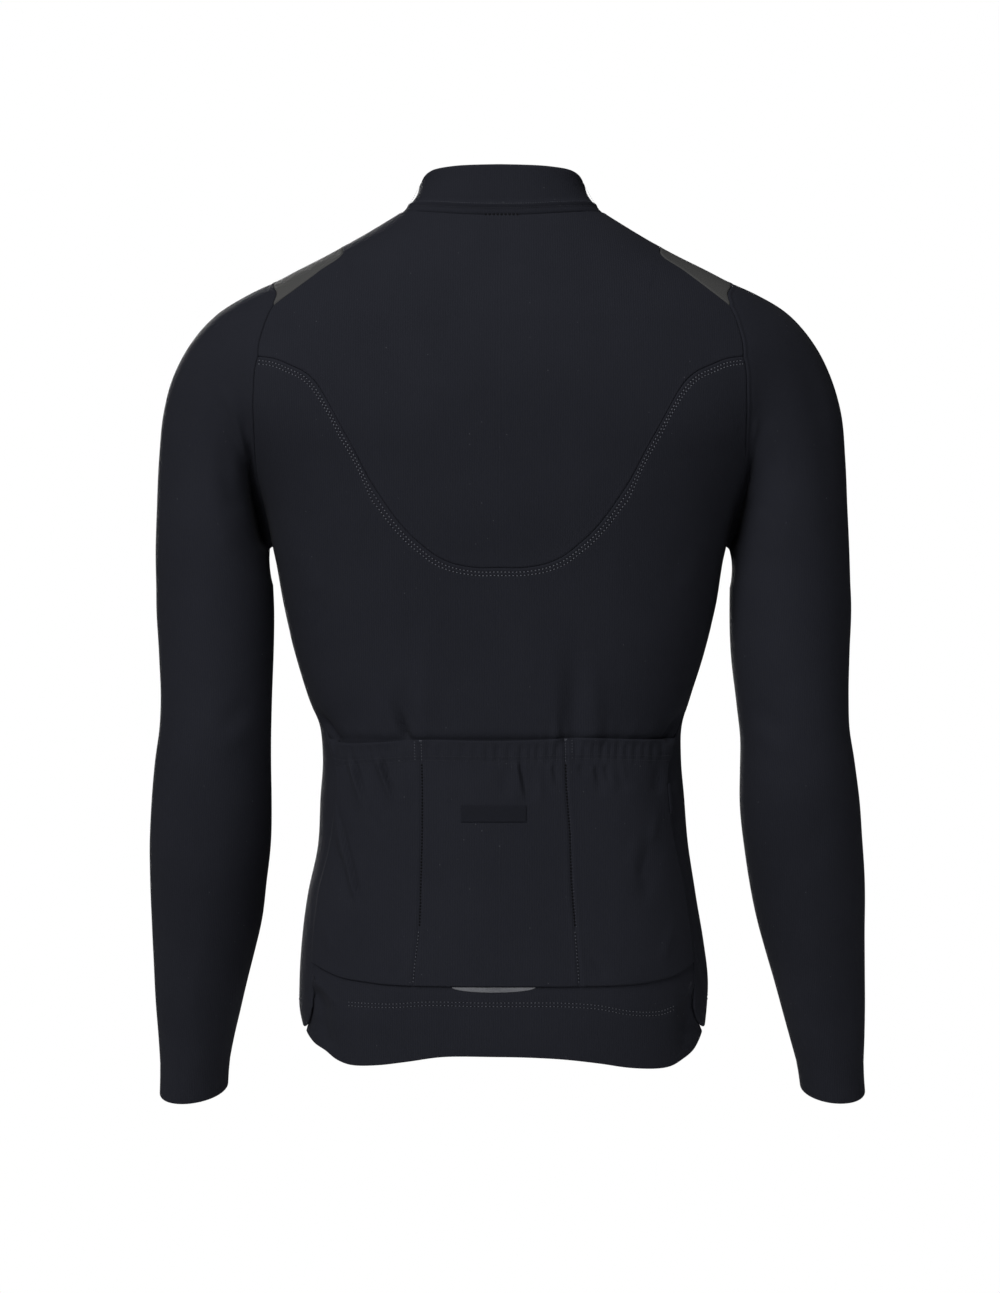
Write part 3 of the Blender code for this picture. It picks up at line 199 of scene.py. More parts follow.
# Folds as seen from the back (or, in the tables so named, from the front): a line from x0, z0 to
# x1, z1, how wide the fold is and how high. A fold grows from its first end.
Fold = namedtuple("Fold", "x0 z0 x1 z1 width height")
FOLD_GROWTH, FADE_START = 0.8, 0.82  # shares of a fold's length
FOLDS = table(
    Fold,
    (-58, -300, -62, -421, 10, 2.2), (-84, -372, -74, -421, 7, -3.4),
    (-100, -385, -92, -421, 7, 1.2), (58, -318, 59, -421, 9, -3.4), (74, -345, 75, -421, 8, 2.2),
    (42, -350, 44, -421, 7, 1.2), (-150, -398, -133, -424, 6, -2.4),
    (150, -395, 130, -424, 6, -2.4),
)
POCKET_FOLDS = table(
    Fold,
    (-126, -452, -116, -482, 5, -1.3), (-105, -440, -93, -482, 6, -1.5),
    (-134, -480, -120, -550, 6, -1.6), (-80, -440, -78, -470, 6, 1.0), (2, -442, 4, -462, 5, -1.1),
    (22, -442, 24, -468, 5, -1.3), (38, -442, 40, -460, 5, -1.0), (78, -442, 79, -462, 5, -1.2),
    (94, -442, 96, -462, 5, -1.2), (126, -500, 114, -545, 7, -1.5),
)
FINE_FOLDS = table(
    Fold,
    (-85, -392, -76, -420, 2.4, -3.9), (-79, -392, -70, -420, 3.0, 1.3),
    (-148, -400, -134, -424, 2.0, -5.0), (150, -398, 136, -424, 2.3, -3.6),
    (-57, -388, -55, -424, 4.0, -1.1), (49, -396, 51, -424, 2.8, -1.3),
    (-124, -642, -149, -618, 3.0, 1.3), (-132, -650, -150, -628, 3.6, -1.0),
    (140, -642, 153, -624, 3.0, 0.9), (-96, -400, -88, -423, 3.2, -0.8),
    (-70, -392, -69, -423, 3.0, 0.7), (-47, -398, -49, -423, 3.0, -0.6),
    (28, -405, 30, -423, 3.0, -0.5), (40, -396, 39, -423, 3.4, -0.9),
    (66, -380, 67, -423, 3.2, 0.8), (84, -402, 86, -423, 3.0, -0.7),
    (94, -404, 95, -423, 3.2, -0.6), (112, -405, 104, -423, 3.6, 0.5),
    (-118, -402, -110, -423, 3.6, 0.5), (-176, -240, -150, -300, 9, 1.0),
    (176, -240, 152, -296, 9, 0.9), (-190, -262, -168, -330, 8, -0.8),
    (188, -262, 170, -322, 8, -0.8),
)
FRONT_FOLDS = table(
    Fold,
    (-150, -215, -96, -300, 12, -1.6), (-120, -190, -70, -262, 10, 1.2),
    (150, -212, 102, -292, 12, -1.5), (124, -196, 78, -250, 10, 1.1),
    (-10, -330, -40, -420, 13, 1.1), (12, -322, 46, -408, 13, -1.0),
    (-140, -392, -84, -424, 8, -1.4), (142, -398, 90, -430, 8, -1.4),
    (-146, -428, -92, -436, 7, 1.2), (146, -434, 98, -446, 7, 1.1), (-60, -560, -66, -628, 9, 1.0),
    (58, -548, 62, -630, 9, -1.0), (-24, -96, -60, -150, 9, -0.8), (26, -98, 58, -146, 9, -0.8),
)
# Creases of the sleeves at the back of the armpit, the elbow and the wrist, and their like in front.
SLEEVE_FOLDS = {
    "left": table(
        Fold,
        (-226, -140, -214, -160, 4.2, 1.1), (-216, -156, -203, -197, 3.8, 2.6),
        (-203, -197, -197.5, -222, 3.2, 1.6), (-207, -160, -199, -192, 3.6, -2.2),
        (-229, -178, -214, -232, 8.0, -1.8), (-240, -205, -222, -262, 9.0, 1.2),
        (-262, -160, -252, -250, 14.0, 0.8), (-198, -388, -218, -410, 8.0, -1.2),
        (-196, -408, -222, -428, 7.0, 1.0), (-262, -470, -240, -510, 12.0, -0.8),
        (-236, -560, -252, -640, 10.0, 0.8), (-270, -600, -262, -690, 8.0, -0.6),
    ),
    "right": table(
        Fold,
        (207.5, -164, 203, -182, 2.6, 1.5), (203, -196, 197, -226, 3.6, -2.0),
        (209, -182, 202, -224, 4.0, 1.8), (226, -176, 212, -236, 8.0, -1.4),
        (244, -205, 226, -266, 9.0, 1.0), (262, -150, 256, -240, 14.0, 0.7),
        (202, -392, 224, -414, 8.0, -1.2), (202, -412, 228, -432, 7.0, 1.0),
        (268, -476, 250, -520, 12.0, -0.8), (250, -560, 262, -640, 10.0, 0.8),
        (288, -610, 282, -690, 8.0, -0.6),
    ),
}
SLEEVE_FRONT_FOLDS = {
    "left": table(
        Fold,
        (-210, -150, -199, -196, 4.5, 2.0), (-222, -168, -206, -228, 7.0, -2.0),
        (-240, -190, -218, -256, 10.0, 1.3), (-206, -400, -240, -432, 8.0, -1.8),
        (-204, -420, -246, -448, 8.0, 1.4), (-208, -452, -244, -466, 8.0, -1.2),
        (-268, -560, -246, -610, 10.0, 0.9),
    ),
    "right": table(
        Fold,
        (208, -146, 199, -190, 4.5, 1.9), (224, -166, 207, -226, 7.0, -1.9),
        (242, -186, 222, -252, 10.0, 1.2), (212, -406, 248, -436, 8.0, -1.8),
        (212, -424, 252, -454, 8.0, 1.4), (216, -458, 252, -470, 8.0, -1.1),
        (276, -566, 256, -616, 10.0, 0.9),
    ),
}

ArmRing = namedtuple(
    "ArmRing", "height left_x left_half right_x right_half forward half_depth lean"
)
ARM_RINGS = table(
    ArmRing,
    (-300, 233.7, 47.7, 237.5, 49.5, -3.3, 54.7, 0), (-315, 233.3, 48.0, 237.8, 49.8, -4, 54, 0),
    (-354, 232.0, 46.7, 237.4, 48.6, -7, 51, 0), (-394, 231.6, 45.5, 239.0, 45.7, -10, 48, 0),
    (-420, 232.6, 45.8, 240.8, 44.6, -11, 47, 0), (-446, 234.6, 47.6, 243.0, 46.8, -9, 47, 0),
    (-475, 236.2, 49.2, 245.3, 48.8, -4, 47, 0), (-512, 238.0, 49.5, 249.2, 48.6, 6, 46, 0),
    (-540, 240.0, 47.9, 252.9, 47.5, 15, 44, 0), (-566, 241.9, 46.2, 256.5, 45.4, 24, 42, 0),
    (-593, 245.0, 43.0, 260.6, 41.9, 33, 39, 0), (-620, 248.0, 39.4, 264.8, 38.4, 42, 36, 0.02),
    (-648, 251.0, 35.6, 269.3, 34.9, 52, 33, 0.05),
    (-675, 253.7, 31.8, 273.2, 31.3, 61, 30.5, 0.09),
    (-703, 256.0, 28.9, 277.0, 27.8, 71, 28.5, 0.14),
    (-721, 257.2, 28.5, 279.2, 27.2, 77.5, 28, 0.18),
)
ShoulderPoint = namedtuple("ShoulderPoint", "height left right")
SHOULDER_LINE = table(
    ShoulderPoint,
    (-59, 200, 205), (-79, 233.5, 238), (-105, 255.5, 259), (-131, 268.5, 271.5),
    (-157, 275.5, 279), (-197, 279.5, 283), (-236, 281, 284.5), (-270, 281.7, 286),
    (-300, 281.4, 287),
)
WEDGE_TIP = 0.16
WEDGE_SHARES, WEDGE_LINES = (-0.15, -0.4, -0.7), (0.3, 0.8, 1.5, 2.4)
RIDGE_RISE = 1.5
CAP_HANDLE = 0.42
ARM_HANDLE = 0.36
ARMPIT_HANDLE = 5.0
ARMPIT_ROUND = 0.75
ARMPIT_OUT = (0.9, 0.42)
ARMPIT_SPREAD = 3.5
CAP_OPENING, ARMPIT_CLOSING = 0.7, 4
SETTLE_IN, SETTLE_OUT = (0.02, 0.25), (1, 0.75)  # shares of the way down the sleeve's cap
SETTLE_OPENING = (0.6, 0.95)
ARM_STEP = 4.0

LABEL_LEFT, LABEL_RIGHT = -31.0, 21.0
LABEL_TOP, LABEL_BOTTOM = -476.0, -489.0
TAB_LEFT, TAB_RIGHT = -38.0, 28.0
TAB_DROP, TAB_END = 4.2, 0.14
SIDE_TAB_TOP, SIDE_TAB_BOTTOM = -460.0, -484.0
SIDE_TAB_WIDTH = 3.4
SIDES = {"left": -1, "right": 1}

# ---------------------------------------------------------------- sewing, in millimetres
# Lines of the grid at these distances from an edge hold its roll and its stitch troughs.
EDGE_LINES = (0.3, 0.8, 1.4, 2.2, 3.2)
COVER_LINES = (0.3, 0.8, 1.5, 2.2, 2.8, 3.2, 3.7, 4.6, 5.5, 6.0, 6.5, 7.4)
ARMHOLE_LINES = (0.3, 0.8, 1.4, 2.0, 2.8, 3.7, 4.6, 5.6, 7.0)
NECKBAND_LINES = (0.3, 0.8, 1.5, 2.6, 4.0, 5.2, 6.0, 6.8, 7.5, 8.1, 8.7, 9.4, 10.4, 12.0)

# How far an edge rolls in, and over what width. A free edge does it on both faces.
ROLL_DEPTH, ROLL_REACH = 0.75, 1.2
FREE_ROLL, ARMHOLE_ROLL, COLLAR_ROLL, POCKET_SIDE_ROLL = (0.6, 1.3), (0.8, 0.9), (1.05, 2.2), (1.3, 1.7)
COVER_ROLL = 0.5
# The low and high places that sewing makes beside an edge, as distances from it.
Swell = namedtuple("Swell", "centre width height")
COVER_ROWS = (3.2, 6.0)  # the double-needle rows, from the yoke's seam
COVER_SWELLS = table(
    Swell, *((row, 0.5, -0.2) for row in COVER_ROWS), (sum(COVER_ROWS) / 2, 1.0, 0.1), (1.4, 0.7, 0.06)
)
PLAIN_SWELLS = table(Swell, (2.2, 1.3, 0.16))
ARMHOLE_SWELLS = table(Swell, (1.8, 0.9, 0.35), (4.4, 1.2, -0.2))
NECK_SWELLS = table(Swell, (8.4, 1.5, 0.9))
NECKBAND_SUNK, NECKBAND_EDGE = 0.5, (5.2, 7.6)
SLEEVE_CALM, COLLAR_CALM = 14, 8  # within this of their seams the cloth gets ever smoother
CUFF_SWELLS, CUFF_STEP, CUFF_HEM = table(Swell, (26.0, 1.6, -0.2)), 0.15, (24, 27)
HEM_SWELLS = table(Swell, (0, 0.8, -0.24), (2.8, 0.8, -0.24), (1.65, 0.9, 0.14), (-2.6, 1.8, -0.12))
FRONT_HEM_ROWS = (22.0, 25.3)
FRONT_HEM_SWELLS = table(Swell, *((row, 0.9, -0.24) for row in FRONT_HEM_ROWS))

Stitch = namedtuple("Stitch", "pitch length radius")
PLAIN_STITCH = Stitch(1.8, 1.15, 0.27)
COVER_STITCH = Stitch(3.0, 1.3, 0.42)
CROSSING_STITCH = Stitch(3.0, 2.8, 0.16)
HEM_STITCH = Stitch(3.0, 1.15, 0.28)
CASING_STITCH = Stitch(2.3, 1.1, 0.24)
DOT_STITCH = Stitch(2.5, 0.7, 0.16)
LOWER_STITCH = Stitch(2.8, 1.1, 0.3)
RIDGE_STITCH = Stitch(2.0, 1.5, 0.13)
TAPE_STITCH = Stitch(2.4, 1.7, 0.2)
Hole = namedtuple("Hole", "length radius sink")  # painted shade: a dark piece in the needle hole between two stitches
PLAIN_HOLE = Hole(1.0, 0.36, 0.08)
COVER_HOLE = Hole(1.5, 0.4, 0.08)
DIVIDER_HOLE = Hole(1.5, 0.8, -0.1)
LOWER_HOLE = Hole(1.0, 0.42, 0.0)

# Stitched lines on the pockets and the tail, as x and z seen from the back.
DIVIDERS = {
    "left": (
        (-63, -423), (-62, -460), (-62, -498), (-63, -539), (-64, -573), (-67, -599), (-69, -619),
    ),
    "right": (
        (52, -422), (53, -466), (55, -490), (57, -541), (60, -578), (62, -603), (63, -618),
    ),
}
HEM_STITCHES = (
    (-122, -633.4), (-109, -633.6), (-85, -633.5), (-62, -631.5), (-15, -631.8), (21, -631.8),
    (51, -632.2), (81, -635), (99, -639), (115, -641), (131, -640.5), (141, -637),
)


# ---------------------------------------------------------------- curves and surfaces
def column(rows, name):
    return np.array([getattr(row, name) for row in rows], float)


def smooth(knots, values, at):
    """A cubic curve through the values, with the slope at each knot taken from its neighbours."""
    order = np.argsort(knots)
    knots, values = np.asarray(knots, float)[order], np.asarray(values, float)[order]
    slopes = np.gradient(values, knots)
    at = np.clip(np.asarray(at, float), knots[0], knots[-1])
    i = np.clip(np.searchsorted(knots, at) - 1, 0, len(knots) - 2)
    step = knots[i + 1] - knots[i]
    t = (at - knots[i]) / step
    return (
        (1 + 2 * t) * (1 - t) ** 2 * values[i]
        + t * (1 - t) ** 2 * step * slopes[i]
        + t * t * (3 - 2 * t) * values[i + 1]
        + t * t * (t - 1) * step * slopes[i + 1]
    )


def ease(start, end, at):
    """0 before start, 1 after end, and smooth between them."""
    t = np.clip((np.asarray(at, float) - start) / (end - start), 0, 1)
    return t * t * (3 - 2 * t)


def unit(vectors):
    length = np.linalg.norm(vectors, axis=-1, keepdims=True)
    return vectors / np.maximum(length, 1e-9)


def travelled(points, axis=0):
    """The length of the way to each point, from the first one along an axis of the grid."""
    steps = np.linalg.norm(np.diff(points, axis=axis), axis=-1)
    return np.insert(np.cumsum(steps, axis=axis), 0, 0.0, axis=axis)


def half_size(height, side):
    """How far the body reaches to the left, right, back or front at a height."""
    return smooth(column(SECTIONS, "height"), column(SECTIONS, side), height)


def outline(angle, left, right, back, front):
    """x and y at an angle, in degrees, round a form a little squarer than an ellipse."""
    sine, cosine = np.sin(np.radians(angle)), np.cos(np.radians(angle))
    power = 2 / ROUNDNESS
    x = np.where(sine < 0, left, right) * np.sign(sine) * np.abs(sine) ** power
    y = -np.where(cosine > 0, back, front) * np.sign(cosine) * np.abs(cosine) ** power
    return x, y


def bare_body(angle, height):
    """A point of the body's smooth surface."""
    sizes = [half_size(height, side) for side in ("left", "right", "back", "front")]
    return np.stack(np.broadcast_arrays(*outline(angle, *sizes), height), axis=-1).astype(float)


def body_normal(angle, height):
    """The surface's outward direction, from two short steps on it."""
    turn, climb = 0.6, 1.0
    round_it = bare_body(angle + turn, height) - bare_body(angle - turn, height)
    up = bare_body(angle, height + climb) - bare_body(angle, height - climb)
    return unit(np.cross(round_it, up))


def swell(away, centre, width, height):
    """A soft rise, or a trough where height is below 0, along a line beside an edge."""
    return height * np.exp(-(((away - centre) / width) ** 2))


def fold_height(folds, points, growth=FOLD_GROWTH, fade=0.0):
    """How far the folds lift the points, seen along Y. fade is how far they die away at their end."""
    lift = np.zeros(points.shape[:-1])
    for fold in folds:
        start, end = np.array([fold.x0, fold.z0]), np.array([fold.x1, fold.z1])
        along = (points[..., [0, 2]] - start) @ (end - start)
        along = np.clip(along / np.sum((end - start) ** 2), 0, 1)
        nearest = start + along[..., None] * (end - start)
        away = np.linalg.norm(points[..., [0, 2]] - nearest, axis=-1)
        grown = ease(0, growth, along) * (1 - fade * ease(FADE_START, 1, along))
        lift += grown * swell(away, 0, fold.width, fold.height)
    return lift


def ripple(points):
    """The slight unevenness of worn cloth, a few tenths of a millimetre."""
    x, y, z = (points[..., k] for k in range(3))
    return (
        0.16 * np.sin(x / 17 + z / 39 + 1.3)
        + 0.14 * np.sin(x / 31 - z / 23 + y / 29)
        + 0.10 * np.sin(z / 13 + x / 47 + 0.7) * np.sin(x / 11 + y / 19)
    )


def body_folds(points):
    """The folds of the back, and on the other side those of the front."""
    behind = fold_height(FOLDS, points) + fold_height(FINE_FOLDS, points)
    before = fold_height(FRONT_FOLDS, points)
    return np.where(points[..., 1] < 0, behind, before) + ripple(points)


def angle_at(across, height, front=False):
    """The angle of a point that lies this far to the side at this height."""
    wide = half_size(height, "left" if np.any(np.asarray(across) < 0) else "right")
    share = np.clip(np.abs(across) / wide, 0, 1) ** (ROUNDNESS / 2)
    turn = np.degrees(np.arcsin(share))
    return np.sign(across) * (180 - turn if front else turn)


# Lengths on the body's surface: round it from the centre back, and up it from the hem.
ARC_HEIGHTS = np.linspace(-700, 12, 357)
ARC_ANGLES = np.linspace(-180, 180, 241)
arc_net = bare_body(ARC_ANGLES[None, :], ARC_HEIGHTS[:, None])
arc_round = travelled(arc_net, axis=1)
ARC_LENGTHS = (arc_round - arc_round[:, [len(ARC_ANGLES) // 2]], travelled(arc_net))


def cloth_map(angle, height):
    """The cloth's own coordinates: along the courses and along the ribs."""
    places = []
    for knots, at in ((ARC_HEIGHTS, height), (ARC_ANGLES, angle)):
        number = np.interp(at, knots, np.arange(len(knots)))
        low = np.minimum(number.astype(int), len(knots) - 2)
        places += [low, number - low]
    r, down, c, across = places
    found = []
    for lengths in ARC_LENGTHS:
        low = lengths[r, c] * (1 - across) + lengths[r, c + 1] * across
        high = lengths[r + 1, c] * (1 - across) + lengths[r + 1, c + 1] * across
        found.append(low * (1 - down) + high * down)
    return np.stack(found, axis=-1)


# ---------------------------------------------------------------- seams
def evenly(route, strips, crowding=1.0):
    """Points along a route of (angle, height) rows, closer at its end where crowding is over 1."""
    route = np.asarray(route, float)
    dense = np.linspace(0, len(route) - 1, CURVE_STEPS * (len(route) - 1) + 1)
    fine = [smooth(np.arange(len(route)), values, dense) for values in route.T]
    along = travelled(bare_body(*fine))
    at = along[-1] * (1 - (1 - np.linspace(0, 1, strips + 1)) ** crowding)
    return np.stack([np.interp(at, along, values) for values in fine], axis=1)


def seam_route(seam, front=False):
    """A table of seam points on the wearer's right, as (angle, height) rows."""
    return [(float(angle_at(max(p.across, 1e-6), p.height, front)), p.height) for p in seam]


def joined(*pieces):
    return np.concatenate([pieces[0], *[piece[1:] for piece in pieces[1:]]])


def mirrored(route, side):
    return np.asarray(route, float) * [SIDES[side], 1]


NECK_SIDE = (90.0, 5.5)
RIDGE_MIDDLE = (90.0, -8.0)
APEX = (90.0, SHOULDER_APEX)
SHOULDER_TOP = (90.0, ARMHOLE_TOP)
SHOULDER_BEHIND = (61.5, -62.0)
SHOULDER_BEFORE = (119.0, -61.0)
ARMPIT_POINT = (90.0, ARMPIT)


def side_seam_point(height):
    inset = smooth(column(SIDE_SEAM, "height"), column(SIDE_SEAM, "inset"), height)
    wide = half_size(height, "right")
    return float(angle_at(wide - inset, height)), height


def side_route(top, bottom, strips):
    return np.array([side_seam_point(h) for h in np.linspace(top, bottom, strips + 1)])


def half_seams():
    """Every seam that a panel's side edge follows, on the wearer's right."""
    back = seam_route(ARMHOLE_BACK)
    front = seam_route(ARMHOLE_FRONT, front=True)
    yoke_end = [p.height for p in ARMHOLE_BACK].index(SEAM_CORNER)
    front_strips = ARMHOLE_YOKE_STRIPS + ARMHOLE_BACK_STRIPS
    return {
        "ridge": evenly([NECK_SIDE, RIDGE_MIDDLE, APEX], RIDGE_STRIPS),
        "wedge_back": evenly([APEX, *seam_route(WEDGE_BACK_EDGE)], WEDGE_STRIPS),
        "wedge_front": evenly([APEX, *seam_route(WEDGE_FRONT_EDGE, front=True)], WEDGE_STRIPS),
        "top_back": evenly([SHOULDER_TOP, SHOULDER_BEHIND, back[0]], ARMHOLE_TOP_STRIPS),
        "top_front": evenly([SHOULDER_TOP, SHOULDER_BEFORE, front[0]], ARMHOLE_TOP_STRIPS),
        "armhole_yoke": evenly(back[: yoke_end + 1], ARMHOLE_YOKE_STRIPS),
        "armhole_back": evenly([*back[yoke_end:], ARMPIT_POINT], ARMHOLE_BACK_STRIPS),
        "armhole_front": evenly([*front, ARMPIT_POINT], front_strips),
        "side": side_route(ARMPIT, POCKET_TOP_AT_SEAM, SIDE_STRIPS),
        "pocket_side": side_route(POCKET_TOP_AT_SEAM, POCKET_FOOT_AT_SEAM, POCKET_STRIPS),
        "tack": side_route(POCKET_FOOT_AT_SEAM, BARTACK, TACK_STRIPS),
    }


def level_route(edge, reach):
    """A level edge from the left side seam to the right one. reach is the angle of its ends."""
    turn = np.degrees(np.arcsin(column(edge, "share") ** (ROUNDNESS / 2)))
    turn = turn * reach / turn[-1]
    left, right = (mirrored(np.stack([turn, column(edge, side)], axis=1), side) for side in SIDES)
    return joined(left[::-1], right)


def across_back(half):
    """A seam given on the right, from its left end over the centre back to its right end."""
    half = np.asarray(half, float)
    return joined(mirrored(half[::-1], "left"), half)


# ---------------------------------------------------------------- grids
LEAST_SQUARE = 0.3  # how askew to an edge a grid's lines may be taken for
LINES_CLEAR = 0.7  # the grid's own lines start this far past the last line put in
LINES_APART = 3.5


def patch(cross, left, right):
    """A grid of (angle, height) between its two side edges and its level rows."""
    rows = sorted(cross)
    share = np.linspace(0, 1, len(cross[rows[0]]))[:, None]
    grid = np.zeros((rows[-1] + 1, len(share), 2))
    for top, bottom in zip(rows, rows[1:]):
        for row in range(top, bottom + 1):
            t = (row - top) / (bottom - top)
            line = (1 - t) * cross[top] + t * cross[bottom]
            line = line + (1 - share) * (left[row] - line[0])
            grid[row] = line + share * (right[row] - line[-1])
    return grid


def turned(values, side):
    """The grid with that edge as its first row. Turning it twice gives the grid back."""
    if side == "bottom":
        return values[::-1]
    if side == "left":
        return np.swapaxes(values, 0, 1)
    if side == "right":
        return np.swapaxes(values[::-1, ::-1], 0, 1)
    return values


def from_edge(points, side):
    """How far each point of the grid lies from an edge, square to it near the edge."""
    grid = turned(points, side)
    tangent = unit(np.gradient(grid[0], axis=0))
    square = np.linalg.norm(np.cross(tangent, unit(grid[1] - grid[0])), axis=-1)
    return turned(travelled(grid) * np.maximum(square, LEAST_SQUARE), side)


def sampled(values, at):
    """The grid's rows at fractional row numbers: one number for each column, or for all of them."""
    low = np.clip(np.floor(at).astype(int), 0, len(values) - 2)
    share = (at - low)[..., None]
    columns = np.arange(values.shape[1])[None, :]
    return values[low, columns] * (1 - share) + values[low + 1, columns] * share


def rows_at(away, distance):
    """The row number, with its fraction, at which each column lies this far from the first row."""
    numbers = np.arange(len(away), dtype=float)
    return np.array([np.interp(distance, line, numbers) for line in away.T])


def with_lines(values, points, side, distances):
    """The grid with lines at these distances from an edge in place of its own near that edge."""
    grid = turned(values, side)
    away = turned(from_edge(points, side), side)
    clear = np.flatnonzero(away.min(axis=1) > distances[-1] + LINES_CLEAR)
    if not len(clear) or clear[0] > len(grid) - 2:
        return values
    first = int(clear[0])
    at = [np.zeros(grid.shape[1]), *(rows_at(away, distance) for distance in distances)]
    last = at[-1]
    spare = float(np.max(away[first])) - distances[-1]
    extra = max(int(round(spare / LINES_APART)) - 1, 0)
    at += [last + (first - last) * (k + 1) / (extra + 1) for k in range(extra)]
    return turned(np.concatenate([sampled(grid, np.array(at)), grid[first:]]), side)


def with_shares(values, side, shares):
    """The grid with lines at these shares of its first strip beside an edge."""
    grid = turned(values, side)
    near = [grid[0] + (grid[1] - grid[0]) * share for share in shares]
    return turned(np.concatenate([grid[:1], near, grid[1:]]), side)


def roll(away, depth=ROLL_DEPTH, reach=ROLL_REACH):
    """A sewn edge turns in towards its seam."""
    return -depth * (1 - np.clip(away / reach, 0, 1)) ** 2


def swells(away, rows):
    return sum(swell(away, *row) for row in rows)


def plain_seam(away):
    return roll(away) + swells(away, PLAIN_SWELLS)


def cover_seam(away):
    """A seam with a double-needle stitch beside it, which pulls the cloth down along two rows."""
    return roll(away, COVER_ROLL) + swells(away, COVER_SWELLS)


def armhole_seam(away):
    """The seam's allowance lies in the sleeve and raises a soft ridge along it."""
    return roll(away, *ARMHOLE_ROLL) + swells(away, ARMHOLE_SWELLS)


def neck_seam(away):
    """The collar's foot is sewn flat under a topstitched edge."""
    return roll(away) - NECKBAND_SUNK * (1 - ease(*NECKBAND_EDGE, away)) + swells(away, NECK_SWELLS)


def pocket_side(away):
    """The pockets' side edges are caught in the side seam, close to the back."""
    return roll(away, *POCKET_SIDE_ROLL)


def free_edge(away):
    return roll(away, *FREE_ROLL)


SEWN = {side: plain_seam for side in ("top", "bottom", "left", "right")}

Panel = namedtuple("Panel", "object points normals away")
made = {}


# ---------------------------------------------------------------- meshes
def placed(name, data):
    obj = bpy.data.objects.new(name, data)
    bpy.context.scene.collection.objects.link(obj)
    return obj


def add_mesh(name, points, faces, material, uv=None, sharp=50.0):
    """A mesh from numpy arrays. faces has one row of corners a face, all of one length."""
    data = bpy.data.meshes.new(name)
    data.vertices.add(len(points))
    data.vertices.foreach_set("co", (points * MM).astype(np.float32).ravel())
    data.loops.add(faces.size)
    data.loops.foreach_set("vertex_index", faces.astype(np.int32).ravel())
    data.polygons.add(len(faces))
    starts = np.arange(len(faces), dtype=np.int32) * faces.shape[1]
    data.polygons.foreach_set("loop_start", starts)
    if uv is not None:
        layer = data.uv_layers.new(name="cloth")
        layer.data.foreach_set("uv", (uv * MM).astype(np.float32).ravel())
    data.update(calc_edges=True)
    data.validate()
    data.materials.append(material)
    data.shade_smooth()
    data.set_sharp_from_angle(angle=math.radians(sharp))
    return placed(name, data)


def shell(name, outer, inner, uv, material, normals=None, away=None, closed=False):
    """A cloth wall between two faces, closed round its rim. uv has one more column if closed."""
    rows, columns = outer.shape[:2]
    wide = uv.shape[1]
    cells = np.arange(rows * wide).reshape(rows, wide)
    a, b = cells[:-1, :-1], cells[:-1, 1:]
    d, c = cells[1:, :-1], cells[1:, 1:]
    front = np.stack([a, d, c, b], axis=-1).reshape(-1, 4)
    layer = rows * wide
    faces = [front, front[:, ::-1] + layer]
    rims = [cells[0], cells[-1, ::-1]]
    if not closed:
        rims += [cells[::-1, 0], cells[:, -1]]
    for rim in rims:
        start, end = rim[:-1], rim[1:]
        faces.append(np.stack([start, end, end + layer, start + layer], axis=-1))
    level, cell = np.divmod(np.concatenate(faces), layer)
    row, col = np.divmod(cell, wide)
    index = row * columns + col % columns + level * rows * columns
    points = np.concatenate([outer.reshape(-1, 3), inner.reshape(-1, 3)])
    flat = points[index[: len(front)]]
    facing = np.cross(flat[:, 2] - flat[:, 0], flat[:, 3] - flat[:, 1])
    out = (outer - inner)[:-1, : wide - 1].reshape(-1, 3)
    if np.sum(facing * out) < 0:
        index, cell = index[:, ::-1], cell[:, ::-1]
    obj = add_mesh(name, points, index, material, uv.reshape(-1, 2)[cell.ravel()])
    made[name] = Panel(obj, outer, normals, away)


def drawn_back(points, sides):
    """How far each edge of a panel moves back within the surface, so that seams stay open."""
    shift = np.zeros_like(points)
    for side in sides:
        grid, moved = turned(points, side), turned(shift, side)
        tangent = unit(np.gradient(grid[0], axis=0))
        inward = grid[1] - grid[0]
        inward = inward - np.sum(inward * tangent, axis=1, keepdims=True) * tangent
        moved[0] += unit(inward) * (SEAM_SHOWN / 2)
    return shift


def body_panel(
    name, grid, material, lines=None, relief=None, lift=None, hollow=None, cloth=CLOTH, edges=None
):
    """A cut panel on the body's surface, as a shell with its own relief along each edge.

    grid holds (angle, height) and may hold more columns, which lift reads. Lines below 0 are shares
    of the first strip. Free edges are round on both faces.
    """
    forms = {**SEWN, **(edges or {})}
    lines = {**{side: EDGE_LINES for side in SEWN}, **(lines or {})}
    for side, distances in lines.items():
        if distances and distances[0] < 0:
            grid = with_shares(grid, side, [-d for d in distances])
        elif distances:
            grid = with_lines(grid, bare_body(grid[..., 0], grid[..., 1]), side, distances)
    angle, height = grid[..., 0], grid[..., 1]
    base, normal = bare_body(angle, height), body_normal(angle, height)
    away = {side: from_edge(base, side) for side in SEWN}
    rise = body_folds(base)
    if lift is not None:
        rise = rise + lift(grid)
    edge = sum(forms[side](away[side]) for side in SEWN)
    if relief is not None:
        edge = edge + relief(base, away)
    under = sum(free_edge(away[side]) for side in SEWN if forms[side] is free_edge)
    shift = drawn_back(base, SEWN)
    if hollow is not None:
        shift = shift + hollow(base)
    outer = base + normal * (rise + edge)[..., None] + shift
    inner = base + normal * (rise - cloth - under)[..., None] + shift
    shell(name, outer, inner, cloth_map(angle, height), material, normal, away)


# ---------------------------------------------------------------- stitches
CAPSULE_SIDES, CAPSULE_SHOULDER = 5, (0.74, 0.8)  # its shoulder's place and radius


